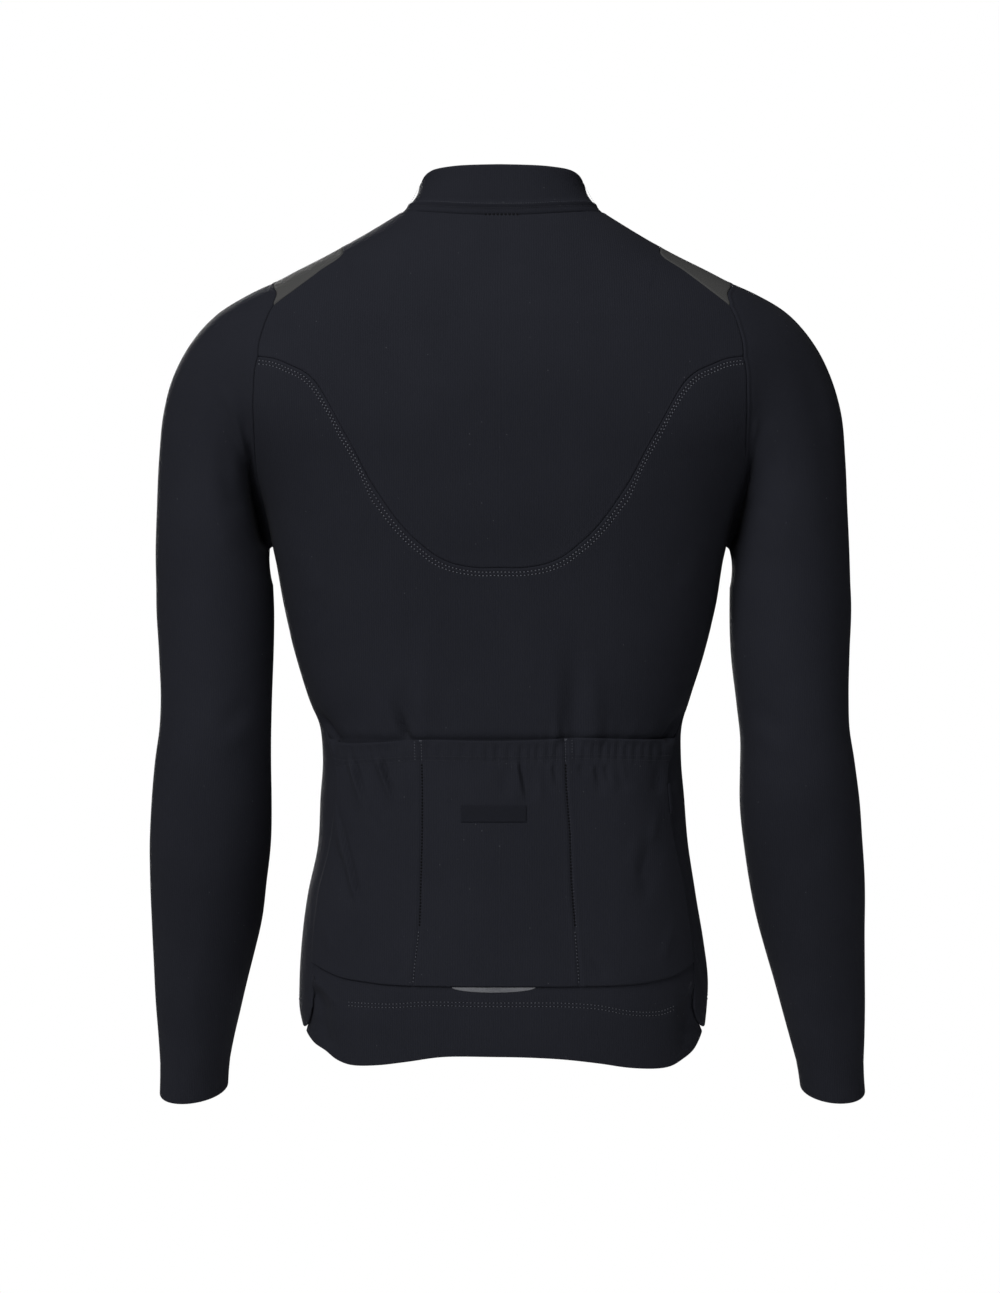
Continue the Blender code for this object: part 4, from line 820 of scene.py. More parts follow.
def capsule():
    """A short thick thread along its first axis, from -1 to 1, with unit radius."""
    sides, (at, narrow) = CAPSULE_SIDES, CAPSULE_SHOULDER
    rings = ((-at, narrow), (0, 1), (at, narrow))
    turn = np.arange(sides) * 2 * math.pi / sides
    points = [(-1, 0, 0)]
    for along, radius in rings:
        points += [(along, radius * math.cos(t), radius * math.sin(t)) for t in turn]
    points.append((1, 0, 0))
    faces = []
    last = len(points) - 1
    for i in range(sides):
        j = (i + 1) % sides
        faces.append((0, 1 + j, 1 + i))
        for ring in range(len(rings) - 1):
            a, b = 1 + ring * sides + i, 1 + ring * sides + j
            faces += [(a, b, b + sides), (a, b + sides, a + sides)]
        start = last - sides
        faces.append((last, start + i, start + j))
    return np.array(points, float), np.array(faces)


CAPSULE_POINTS, CAPSULE_FACES = capsule()
STITCH_DIP = 0.32  # how far a stitch's ends go into the cloth
STITCH_SHOWN = 0.35  # share of its radius that a stitch's middle stands off the cloth
COVER_LIFT, CROSSING_LIFT, CROSSING_DIP = 0.2, 0.05, 0.1


def stitches_at(centres, along, normals, length, radius, dip=STITCH_DIP):
    """The points of one capsule for each centre."""
    along = unit(along - np.sum(along * normals, axis=-1, keepdims=True) * normals)
    side = np.cross(normals, along)
    t = CAPSULE_POINTS
    return (
        centres[:, None]
        + along[:, None] * (t[:, :1] * length / 2)
        + side[:, None] * (t[:, 1:2] * radius)
        + normals[:, None] * (t[:, 2:] * radius - dip * t[:, :1] ** 2)
    )


def threads(name, groups, material):
    """All stitches of the groups as one piece."""
    points = np.concatenate([g.reshape(-1, 3) for g in groups])
    per = len(CAPSULE_POINTS)
    starts = np.arange(len(points) // per) * per
    faces = (CAPSULE_FACES[None] + starts[:, None, None]).reshape(-1, 3)
    obj = add_mesh(name, points, faces, material, sharp=80.0)
    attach(obj, "jacket")


def along_line(points, pitch, start=0.0, end=0.0):
    """Row numbers along a line of points, pitch apart, leaving start and end millimetres bare."""
    length = travelled(points)
    count = int((length[-1] - start - end) / pitch)
    at = start + (np.arange(count) + 0.5) * pitch
    return np.interp(at, length, np.arange(len(points)))


def at_rows(values, rows):
    low = np.clip(rows.astype(int), 0, len(values) - 2)
    share = (rows - low)[:, None]
    return values[low] * (1 - share) + values[low + 1] * share


def on_line(points, normals, rows):
    """Places, ways along and outward directions at fractional row numbers of a line."""
    along = at_rows(np.gradient(points, axis=0), rows)
    return at_rows(points, rows), along, unit(at_rows(normals, rows))


def stitch_row(points, normals, stitch=PLAIN_STITCH, **ends):
    middle, along, normal = on_line(points, normals, along_line(points, stitch.pitch, **ends))
    lifted = middle + normal * stitch.radius * STITCH_SHOWN
    return stitches_at(lifted, along, normal, stitch.length, stitch.radius)


def hole_shades_between(points, normals, rows, hole=PLAIN_HOLE):
    """Painted shade: a near-black piece in the needle hole between each two stitches of a row."""
    middle, along, normal = on_line(points, normals, rows[:-1] + np.diff(rows) / 2)
    return stitches_at(middle - normal * hole.sink, along, normal, hole.length, hole.radius)


def cover_stitch(first, second, **ends):
    """Two needle rows, painted shade in the holes between their stitches, and the thread that crosses
    over them.
    """
    rows = [along_line(line[0], COVER_STITCH.pitch, **ends) for line in (first, second)]
    rows[1] = np.clip(rows[1] + np.diff(rows[1]).mean() / 2, 0, len(second[0]) - 1)
    needle, hole_shades, middles, ways = [], [], [], []
    for (points, normals), row in zip((first, second), rows):
        middle, along, normal = on_line(points, normals, row)
        lifted = middle + normal * COVER_LIFT
        needle.append(stitches_at(lifted, along, normal, COVER_STITCH.length, COVER_STITCH.radius))
        hole_shades.append(hole_shades_between(points, normals, row, COVER_HOLE))
        middles.append(middle)
        ways.append(normal)
    count = min(len(middle) for middle in middles)
    near, far = (middle[:count] for middle in middles)
    across = []
    for start, end in ((near, far), (near[1:], far[:-1])):
        normal = unit(ways[0][: len(start)] + ways[1][: len(start)])
        middle = (start + end) / 2 + normal * CROSSING_LIFT
        across.append(stitches_at(middle, end - start, normal, *CROSSING_STITCH[1:], CROSSING_DIP))
    return needle, hole_shades, across


def edge_line(panel, side, distance):
    """A line on the panel's face at this distance from an edge, with its outward directions."""
    at = rows_at(turned(panel.away[side], side), distance)[None]
    return [sampled(turned(values, side), at)[0] for values in (panel.points, panel.normals)]


LINE_STEP = 2.0  # between the points of a line that stitches or the zip follow


def on_face(panel, route):
    """Points of the panel's face at x and z along a route seen from the back."""
    route = np.asarray(route, float)
    length = travelled(route)
    at = np.linspace(0, length[-1], max(int(length[-1] / LINE_STEP), 2) + 1)
    return lay_on(panel, *(smooth(length, values, at) for values in route.T))


BACKWARD = -0.05  # a face seen from the back has its outward direction's y below this
NEAREST, NEARNESS = 6, 0.05  # points that a laid point is read from, and how little the nearest rules


def lay_on(panel, x, z):
    """The panel's face at x and z, seen from the back: a mean over the nearest points' planes."""
    shape = np.shape(x)
    face, normals = panel.points.reshape(-1, 3), panel.normals.reshape(-1, 3)
    keep = normals[:, 1] < BACKWARD
    face, normals = face[keep], normals[keep]
    found = []
    for px, pz in zip(np.ravel(x), np.ravel(z)):
        near = (face[:, 0] - px) ** 2 + (face[:, 2] - pz) ** 2
        best = np.argpartition(near, NEAREST)[:NEAREST]
        weight = 1 / (near[best] + NEARNESS)
        n, f = normals[best], face[best]
        y = f[:, 1] - (n[:, 0] * (px - f[:, 0]) + n[:, 2] * (pz - f[:, 2])) / n[:, 1]
        mean = unit(np.sum(weight[:, None] * n, axis=0))
        found.append([px, np.sum(weight * y) / np.sum(weight), pz, *mean])
    found = np.array(found).reshape(*shape, 6)
    return found[..., :3], found[..., 3:]


# ---------------------------------------------------------------- materials, in metres
# The knit's noises as scale, detail and roughness.
RIB_WAVES, YARN_GRAIN = (60.0, 1.0, 0.5), (1500.0, 3.0, 0.7)
CLOUDS, FLECKS = (14.0, 4.0, 0.6), (420.0, 2.0, 0.6)
RIB_WOBBLE = 0.8  # how far the ribs wander, as a share of their distance
RIB_HEIGHT = 0.55  # the ribs' share in the knit's relief, beside its grain
KNIT_RELIEF, TRIM_RELIEF = 0.0004, 0.0002
# From dark to light: what grain, ribs, clouds and flecks add to the start, and the range in use.
SHADE_START, SHADE_WEIGHTS, SHADE_RANGE = -0.22, (0.85, 0.2, 0.35, 0.15), (0.1, 1.0)
TRIM_GRAIN, TRIM_WEAR = (3.0, 0.6), (2.0, 0.6)  # their detail and roughness
TRIM_RANGE, WEAR_COARSER, GLOSS_SPREAD = (0.3, 0.7), 14, 0.06
LINT_CELLS, LINT_SIZE, LINT_CHOSEN = 210.0, (0.05, 0.11), (0.93, 0.97)
LINT_COLOUR = (0.16, 0.165, 0.18, 1)


def feed(tree, target, inputs):
    """Link sockets to a node's inputs, and set numbers and colours on them."""
    for key, value in dict(inputs).items():
        if isinstance(value, bpy.types.NodeSocket):
            tree.links.new(value, target.inputs[key])
        else:
            target.inputs[key].default_value = value


def new_material(name):
    material = bpy.data.materials.new(name)
    material.use_nodes = True
    tree = material.node_tree
    return material, tree, tree.nodes["Principled BSDF"]


def node(tree, kind, inputs=(), **settings):
    """A shader node with its settings, and its inputs given by number or name."""
    new = tree.nodes.new(kind)
    for key, value in settings.items():
        setattr(new, key, value)
    feed(tree, new, inputs)
    return new


def calculated(tree, operation, *values):
    return node(tree, "ShaderNodeMath", enumerate(values), operation=operation).outputs[0]


def weighted(tree, start, *parts):
    """A value to start with and, added to it in turn, other values times their weights."""
    for value, weight in parts:
        start = calculated(tree, "MULTIPLY_ADD", value, weight, start)
    return start


def spread(tree, value, low, high, to_low=0.0, to_high=1.0):
    """value from low to high, mapped to another range and held at its ends."""
    inputs = enumerate((value, low, high, to_low, to_high))
    return node(tree, "ShaderNodeMapRange", inputs, clamp=True).outputs[0]


def blend_colours(tree, share, first, second):
    mix = node(tree, "ShaderNodeMix", {0: share, 6: first, 7: second}, data_type="RGBA")
    return mix.outputs[2]


def noise(tree, vector, scale, detail, roughness):
    inputs = {"Vector": vector, "Scale": scale, "Detail": detail, "Roughness": roughness}
    return node(tree, "ShaderNodeTexNoise", inputs).outputs[0]


def relief_of(tree, height, strength, distance):
    inputs = {"Strength": strength, "Distance": distance, "Height": height}
    return node(tree, "ShaderNodeBump", inputs).outputs[0]


def cloth_socket(tree):
    return node(tree, "ShaderNodeUVMap", uv_map="cloth").outputs[0]


def place_socket(tree):
    return node(tree, "ShaderNodeTexCoord").outputs["Object"]


def knit(name, dark, light, rib=0.0019, slant=0.0, lint=0.3, rough_bump=0.35):
    """A fine knit: narrow ribs along the cloth, grains of yarn, cloudy shade and a little lint.

    rib is the ribs' distance in metres, and slant is how far they lean over for each metre up.
    """
    material, tree, shader = new_material(name)
    cloth, place = cloth_socket(tree), place_socket(tree)
    across, along = node(tree, "ShaderNodeSeparateXYZ", {0: cloth}).outputs[:2]
    run = weighted(tree, across, (along, slant), (noise(tree, cloth, *RIB_WAVES), rib * RIB_WOBBLE))
    turn = calculated(tree, "MULTIPLY", run, 2 * math.pi / rib)
    ribs = weighted(tree, 0.5, (calculated(tree, "SINE", turn), 0.5))
    grain, cloud = noise(tree, cloth, *YARN_GRAIN), noise(tree, place, *CLOUDS)
    fleck = noise(tree, cloth, *FLECKS)
    share = weighted(tree, SHADE_START, *zip((grain, ribs, cloud, fleck), SHADE_WEIGHTS))
    colour = blend_colours(tree, spread(tree, share, *SHADE_RANGE), (*dark, 1), (*light, 1))
    if lint:
        cells = node(tree, "ShaderNodeTexVoronoi", {"Vector": cloth, "Scale": LINT_CELLS})
        chosen = node(tree, "ShaderNodeSeparateColor", {0: cells.outputs[1]}).outputs[0]
        near = spread(tree, cells.outputs[0], *LINT_SIZE, 1.0, 0.0)
        bright = spread(tree, chosen, *LINT_CHOSEN, 0.0, lint)
        colour = blend_colours(tree, calculated(tree, "MULTIPLY", near, bright), colour, LINT_COLOUR)
    height = weighted(tree, grain, (ribs, RIB_HEIGHT))
    look = {
        "Base Color": colour,
        "Normal": relief_of(tree, height, rough_bump, KNIT_RELIEF),
        "Roughness": 0.86,
        "Specular IOR Level": 0.03,
        "Sheen Weight": 0.01,
        "Sheen Roughness": 0.45,
    }
    feed(tree, shader, look)
    return material


def smooth_trim(name, dark, light, roughness, metallic=0.0, scale=900.0, bump_strength=0.2):
    """A label, thread, coil or casting: one colour with fine grain and slightly uneven gloss."""
    material, tree, shader = new_material(name)
    place = place_socket(tree)
    grain = noise(tree, place, scale, *TRIM_GRAIN)
    wear = noise(tree, place, scale / WEAR_COARSER, *TRIM_WEAR)
    share = weighted(tree, 0.0, (grain, 0.5), (wear, 0.5))
    gloss = (roughness - GLOSS_SPREAD, roughness + GLOSS_SPREAD)
    look = {
        "Base Color": blend_colours(tree, spread(tree, share, *TRIM_RANGE), (*dark, 1), (*light, 1)),
        "Roughness": spread(tree, wear, *TRIM_RANGE, *gloss),
        "Normal": relief_of(tree, grain, bump_strength, TRIM_RELIEF),
        "Metallic": metallic,
        "Specular IOR Level": 0.12,
    }
    feed(tree, shader, look)
    return material


# ---------------------------------------------------------------- the pieces
MOUTH_TROUGH = Swell(-426.0, 5.0, -2.0)  # its centre is a height
HEM_START, HEM_END = (-126, -120), (138, 145)  # where along X the hem's relief comes and goes
HEM_FINER, HEM_ROWS = 3, (2, 13)  # the tail's grid is finer in these rows below the pockets


def tail_tuck(grid):
    """The tail's edge goes under the front's corner below the vent's bartack."""
    angle, height = np.abs(grid[..., 0]), grid[..., 1]
    edge = side_seam_point(BARTACK)[0] - TUCK_WIDTH / 3
    fall = ease(BARTACK, BARTACK - TUCK_DROP, height) * (1 - ease(*TUCK_END, height))
    return -TUCK_DEPTH * fall * ease(edge - TUCK_WIDTH, edge, angle)


def vent_route():
    """The tail's own edge: beside the front's edge until it is low enough to go under it."""
    start = side_seam_point(BARTACK)
    route = [start, (start[0], BARTACK - TUCK_DROP), *VENT_EDGE]
    return joined(*(np.linspace(*leg, FINE + 1) for leg in zip(route, route[1:])))


def route_distance(points, route):
    """How far below (positive) or above a route the points lie, seen from the back."""
    route = np.asarray(route, float)
    return smooth(route[:, 0], route[:, 1], points[..., 0]) - points[..., 2]


TAIL_HOLLOW_GROWTH = 0.5
TAIL_HOLLOWS = table(Fold, (-146, -620, -138, -664, 6.5, 6.5), (153, -628, 147, -668, 6.0, 4.0))


def tail_hollow(base):
    """The tail's cloth goes in beside the front's corners, along Y so that its outline stays."""
    depth = fold_height(TAIL_HOLLOWS, base, TAIL_HOLLOW_GROWTH) * (base[..., 1] < 0)
    return depth[..., None] * np.array([0, 1, 0])


def tail_relief(base, _away):
    """The hem, sewn flat by two rows, and the back's cloth drawn in behind the pockets' mouth."""
    x, z = base[..., 0], base[..., 2]
    inside = ease(*HEM_START, x) * (1 - ease(*HEM_END, x))
    hem = swells(route_distance(base, HEM_STITCHES), HEM_SWELLS)
    return inside * hem + swell(z, *MOUTH_TROUGH) * (base[..., 1] < 0)


def back_panels(seams, black):
    """The yoke and the back below its curved seam. Returns the neck's seam and the pocket's grid."""
    neck = evenly(across_back([*seam_route(NECK_BACK_SEAM), NECK_SIDE]), BACK_STRIPS)
    yoke_seam = evenly(across_back(seam_route(YOKE_SEAM)), BACK_STRIPS)
    edge = joined(seams["ridge"], seams["wedge_back"], seams["armhole_yoke"])
    rows = {0: neck, len(edge) - 1: yoke_seam}
    body_panel("back_yoke_cloth", patch(rows, mirrored(edge, "left"), edge), black)

    sides = [seams[name] for name in ("armhole_back", "side", "pocket_side", "tack")]
    edge = joined(*sides, vent_route())
    pocket_row = ARMHOLE_BACK_STRIPS + SIDE_STRIPS
    pocket_end = pocket_row + POCKET_STRIPS
    levels = {pocket_row: POCKET_TOP_EDGE, pocket_end: POCKET_BOTTOM_EDGE, len(edge) - 1: TAIL_HEM}
    rows = {0: yoke_seam}
    for row, level in levels.items():
        rows[row] = evenly(level_route(level, edge[row, 0]), BACK_STRIPS)
    back = patch(rows, mirrored(edge, "left"), edge)
    # More rows where the hem's stitches pull the cloth down.
    first, last = (pocket_end + row for row in HEM_ROWS)
    finer = np.arange(first, last, 1 / HEM_FINER)
    at = np.unique(np.round(np.concatenate([np.arange(len(back)), finer]), 4))
    body_panel(
        "back_body_cloth",
        sampled(back, at[:, None]),
        black,
        lines={"top": COVER_LINES},
        edges={"top": cover_seam, "bottom": free_edge},
        relief=tail_relief,
        lift=tail_tuck,
        hollow=tail_hollow,
    )
    return neck, back[pocket_row : pocket_end + 1]


BAND_DEPTH = 15.2  # the elastic casing at the pockets' mouth, down to its first row of stitches
BAND_ROWS = (13.0, 16.4)
BAND_SWELLS = table(
    Swell, *((row, 0.8, -0.42) for row in BAND_ROWS), (sum(BAND_ROWS) / 2, 1.0, 0.12)
)
DIVIDER_SWELLS = table(Swell, (0, 1.2, -0.85), (3.4, 1.7, 0.2))
FOOT_SWELLS = table(Swell, (2.4, 1.0, -0.22))
CASING_RISE = 0.55
MOUTH_REACH, FOLDS_FROM_SIDE = 0.25, 12
# Uneven gathers: x on the pockets' mouth, how wide, how deep, and how far down they reach.
Gather = namedtuple("Gather", "x width depth reach")
BAND_GATHERS = table(
    Gather,
    (-138, 2.2, 0.5, 15), (-131, 1.9, 0.7, 19), (-124, 2.4, 0.6, 17), (-117, 1.8, 0.8, 19),
    (-110, 2.3, 0.5, 15), (-103, 2.0, 0.9, 19), (-95, 2.4, 0.7, 19), (-88, 1.9, 0.9, 19),
    (-81, 2.2, 0.5, 16), (-74, 1.8, 0.6, 19), (-56, 2.2, 0.5, 15), (-47, 2.4, 0.7, 19),
    (-38, 2.0, 0.5, 16), (-29, 2.5, 0.6, 18), (-19, 2.2, 0.5, 15), (-10, 2.0, 0.6, 19),
    (-2, 2.4, 0.9, 19), (7, 1.9, 0.6, 18), (17, 2.3, 0.9, 19), (24, 1.8, 0.6, 19),
    (30, 2.2, 0.9, 19), (38, 1.8, 0.7, 19), (45, 2.2, 0.9, 19), (60, 1.9, 0.7, 19),
    (67, 2.2, 0.8, 19), (74, 1.8, 0.7, 18), (81, 2.1, 0.9, 19), (87, 1.7, 0.7, 19),
    (93, 2.0, 0.9, 19), (100, 1.9, 0.7, 19), (107, 2.3, 0.8, 19), (114, 1.9, 0.6, 17),
    (121, 2.2, 0.7, 19), (129, 2.0, 0.5, 15),
)
GATHER_DEPTH = 1.45
GATHER_LEAN = 0.03  # how far a gather leans in towards the middle for each millimetre down
GATHER_START, BELOW_BAND = (1.0, 7.0), (10, 16)
GATHER_SHOW = 0.9  # share of a gather's depth inside the casing
GATHER_END = (0.45, 1.25)  # shares of its reach over which it dies away
CASING_FOOT = (BAND_ROWS[0] - 1.0, BAND_ROWS[1] + 1.0)
SMALL_GROWTH, SMALL_FADE = 0.7, 0.9
SIDE_CALM = (0.0, 4.0)  # casing, gathers and folds come in over this width beside the side seams
POCKET_FINE_FOLDS = table(
    Fold,
    (-105, -486, -119.5, -439, 2.4, 3.6), (-101.8, -486, -116, -439, 1.5, -2.2),
    (-82, -482, -98, -437, 2.4, 3.6), (-78.8, -482, -94.5, -437, 1.5, -2.2),
    (-136, -462, -112.5, -556, 2.6, 3.2), (-132.8, -462, -109.3, -556, 1.6, -2.2),
    (18.5, -476, 12, -440, 2.6, 2.4), (22, -476, 15.5, -440, 1.7, -2.0),
    (43, -462, 39, -443, 2.4, 1.2), (46, -462, 42, -443, 2.0, -1.2),
    (68, -456, 63, -444, 1.9, -1.3), (77, -462, 72, -445, 2.2, 1.0),
    (80, -462, 75, -445, 2.0, -1.2), (88, -464, 83, -444, 2.0, -1.4),
    (100, -462, 96, -445, 2.2, 0.9), (128, -430, 124, -470, 5.0, -1.6),
    (-112, -470, -90, -500, 3.4, -0.9), (-98, -442, -84, -460, 2.6, 0.8),
    (-136, -478, -124, -522, 3.2, 0.9), (-146, -556, -132, -598, 4.0, 0.7),
    (-72, -590, -86, -616, 4.0, -0.6), (66, -586, 84, -614, 4.0, -0.7),
    (126, -474, 119, -508, 3.6, 0.9), (120, -496, 110, -538, 4.0, -1.2),
    (112, -486, 101, -530, 5.0, 0.8), (142, -560, 128, -602, 4.0, 0.7),
    (-40, -452, -42, -474, 4.0, 0.5), (10, -446, 12, -474, 3.0, 0.6),
    (30, -446, 33, -470, 2.8, 0.6),
)


def divider_x(side, height):
    line = np.array(DIVIDERS[side], float)
    return smooth(line[:, 1], line[:, 0], height)


def pocket_lift(grid):
    """The pockets stand off the back between their dividers and sides, and close at the bottom."""
    base = bare_body(grid[..., 0], grid[..., 1])
    x, z = base[..., 0], base[..., 2]
    down, across = grid[..., 2], grid[..., 3]
    ends = [-half_size(z, "left"), divider_x("left", z), divider_x("right", z), half_size(z, "right")]
    pocket = (x >= ends[1]).astype(int) + (x >= ends[2])
    low, high = np.choose(pocket, ends[:3]), np.choose(pocket, ends[1:])
    fullness = np.sin(math.pi * np.clip((x - low) / (high - low), 0, 1)) ** 2
    opening = POCKET_MOUTH + (1 - POCKET_MOUTH) * ease(0, MOUTH_REACH, down)
    standing = POCKET_FULLNESS * fullness * (1 - down**3) * opening
    at_side = np.clip(np.minimum(across, 1 - across) * FOLDS_FROM_SIDE, 0, 1)
    folds = fold_height(POCKET_FOLDS, base) * at_side
    return LAY_GAP + POCKET_CLOTH + standing + np.maximum(folds, -standing)


def pocket_relief(base, away):
    """Casing, gathers, dividers and small folds of the pockets."""
    x, z, top = base[..., 0], base[..., 2], away["top"]
    casing = CASING_RISE * (1 - ease(*CASING_FOOT, top))
    gathers = np.zeros_like(x)
    grown = GATHER_SHOW * ease(*GATHER_START, top) + (1 - GATHER_SHOW) * ease(*BELOW_BAND, top)
    for g in BAND_GATHERS:
        over = 1 - ease(*(g.reach * share for share in GATHER_END), top)
        lean = (top - BAND_DEPTH) * (GATHER_LEAN if g.x < 0 else -GATHER_LEAN)
        gathers += over * grown * swell(x, g.x + lean, g.width, -GATHER_DEPTH * g.depth)
    seams = sum(swells(np.abs(x - divider_x(side, z)), DIVIDER_SWELLS) for side in SIDES)
    folds = fold_height(POCKET_FINE_FOLDS, base, SMALL_GROWTH, SMALL_FADE)
    sewn = ease(*SIDE_CALM, np.minimum(away["left"], away["right"]))
    band = casing + swells(top, BAND_SWELLS) + gathers + folds
    return band * sewn + seams + swells(away["bottom"], FOOT_SWELLS)


POCKET_LINES = {
    "top": (0.3, 0.8, 1.4, 2.2),
    "left": (0.4, 1.0),
    "right": (0.4, 1.0),
    "bottom": (0.3, 0.8, 1.4),
}


def pockets(grid, black):
    """One panel for the three pockets, laid over the back."""
    rows, columns = grid.shape[:2]
    across, down = np.meshgrid(np.linspace(0, 1, columns), np.linspace(0, 1, rows))
    values = np.concatenate([grid, down[..., None], across[..., None]], axis=-1)
    for _ in range(2):  # first the rows, then the columns
        last = len(values) - 1
        fine = np.linspace(0, last, last * POCKET_FINER + 1)
        values = np.swapaxes(sampled(values, fine[:, None]), 0, 1)
    body_panel(
        "pocket_cloth",
        values,
        black,
        lines=POCKET_LINES,
        edges={"top": free_edge, "left": pocket_side, "right": pocket_side, "bottom": free_edge},
        relief=pocket_relief,
        lift=pocket_lift,
        cloth=POCKET_CLOTH,
    )


FRONT_EDGE = ZIP_HALF_WIDTH + SEAM_GAP / 2


def front_relief(_base, away):
    """The hem of a front, sewn by two rows."""
    return swells(away["bottom"], FRONT_HEM_SWELLS)


def beside_zip(route):
    """A front's seam from the zip's edge on, closer towards the side."""
    fine = evenly(route, FINE_STRIPS)
    clear = bare_body(fine[:, 0], fine[:, 1])[:, 0] > FRONT_EDGE
    return evenly(fine[int(np.argmax(clear)) :], NECK_STRIPS, FRONT_CROWDING)


def front_panel(side, seams, black):
    """One front: centre front to the side seam, neck seam to hem."""
    neck = beside_zip([*seam_route(NECK_FRONT_SEAM, front=True), NECK_SIDE])
    hem = beside_zip(FRONT_HEM_EDGE)
    sides = ("ridge", "wedge_front", "armhole_front", "side", "pocket_side", "tack")
    vent = evenly([side_seam_point(BARTACK), FRONT_HEM_EDGE[-1]], VENT_STRIPS)
    edge = joined(*(seams[name] for name in sides), vent)
    hem[-1] = edge[-1]
    last = len(edge) - 1
    armhole_strips = ARMHOLE_YOKE_STRIPS + ARMHOLE_BACK_STRIPS
    strips = (0, RIDGE_STRIPS + WEDGE_STRIPS, armhole_strips, SIDE_STRIPS, POCKET_STRIPS)
    landmarks = [*np.cumsum(strips), last]
    levels = (neck[0, 1], FRONT_YOKE_LEVEL, ARMPIT, POCKET_TOP, FRONT_TACK_LEVEL, FRONT_HEM)
    heights = np.interp(np.arange(last + 1), landmarks, levels)
    centre = np.array([(float(angle_at(FRONT_EDGE, h, front=True)), h) for h in heights])
    neck[0], hem[0] = centre[0], centre[-1]
    rows = {0: neck, last: hem}
    for row in landmarks[1:-1]:
        route = [centre[row], (centre[row] + edge[row]) / 2, edge[row]]
        rows[row] = evenly(route, NECK_STRIPS, FRONT_CROWDING)
    grid = mirrored(patch(rows, centre, edge), side)
    if side == "left":
        grid = grid[:, ::-1]
    body_panel(
        f"front_{side}_cloth", grid, black, edges={"bottom": free_edge}, relief=front_relief
    )
    return mirrored(neck, side), centre


def shoulder_panel(side, seams, grey):
    """The wedge that lies over the shoulder's ridge, from its point near the neck to the armhole."""
    back_edge, front_edge = seams["wedge_back"], seams["wedge_front"]
    armhole = joined(seams["top_back"][::-1], seams["top_front"])
    share = np.linspace(0, 1, len(armhole))[:, None]
    across = [(1 - share) * back + share * front for back, front in zip(back_edge, front_edge)]
    bend = armhole - across[-1]
    rows = [line + (i / WEDGE_STRIPS) ** RIDGE_RISE * bend for i, line in enumerate(across)]
    rows[0] = rows[0] + WEDGE_TIP * FINE * (rows[1] - rows[0])
    lines = {"top": (), "left": WEDGE_SHARES, "right": WEDGE_SHARES, "bottom": WEDGE_LINES}
    body_panel(f"shoulder_{side}_cloth", mirrored(np.array(rows), side), grey, lines=lines)


def arm_ring(side, height):
    """Middle, half width, half depth and lean of the arm at a height."""
    heights = column(ARM_RINGS, "height")
    names = (f"{side}_x", f"{side}_half", "forward", "half_depth", "lean")
    x, half, forward, depth, lean = (smooth(heights, column(ARM_RINGS, name), height) for name in names)
    middle = np.stack(np.broadcast_arrays(SIDES[side] * x, forward, height), axis=-1)
    return middle, half, depth, lean


def arm_point(side, turn, height):
    """A point of the arm. turn is 0 on the outside of the arm and 90 degrees at its back."""
    middle, half, depth, lean = arm_ring(side, height)
    above = np.minimum(height + ARM_STEP, ARM_RINGS[0].height)
    below = np.maximum(height - ARM_STEP, ARM_RINGS[-1].height)
    axis = unit(arm_ring(side, below)[0] - arm_ring(side, above)[0])
    out = np.array([SIDES[side], 0, 0])
    out = unit(out - np.sum(out * axis, axis=-1, keepdims=True) * axis)
    back = unit(np.cross(axis, out)) * SIDES[side]
    back = back * -np.sign(back[..., 1:2])
    turn = np.radians(turn)
    sideways = (half * np.cos(turn))[..., None] * out
    point = middle + sideways + (depth * np.sin(turn))[..., None] * back
    point[..., 2] -= lean * half * np.cos(turn)
    return point


def armhole_loop(seams):
    """The armhole's points on the wearer's right, from the shoulder over the back and round."""
    back = joined(seams["top_back"], seams["armhole_yoke"], seams["armhole_back"])
    front = joined(seams["top_front"], seams["armhole_front"])
    return np.concatenate([back, front[::-1][1:-1]])


def softened(ring, reach):
    """A closed ring of vectors, each the mean of those around it."""
    shares = 1 + np.cos(np.linspace(-math.pi, math.pi, 2 * reach + 1))
    moved = [share * np.roll(ring, k - reach, 0) for k, share in enumerate(shares)]
    return sum(moved) / np.sum(shares)


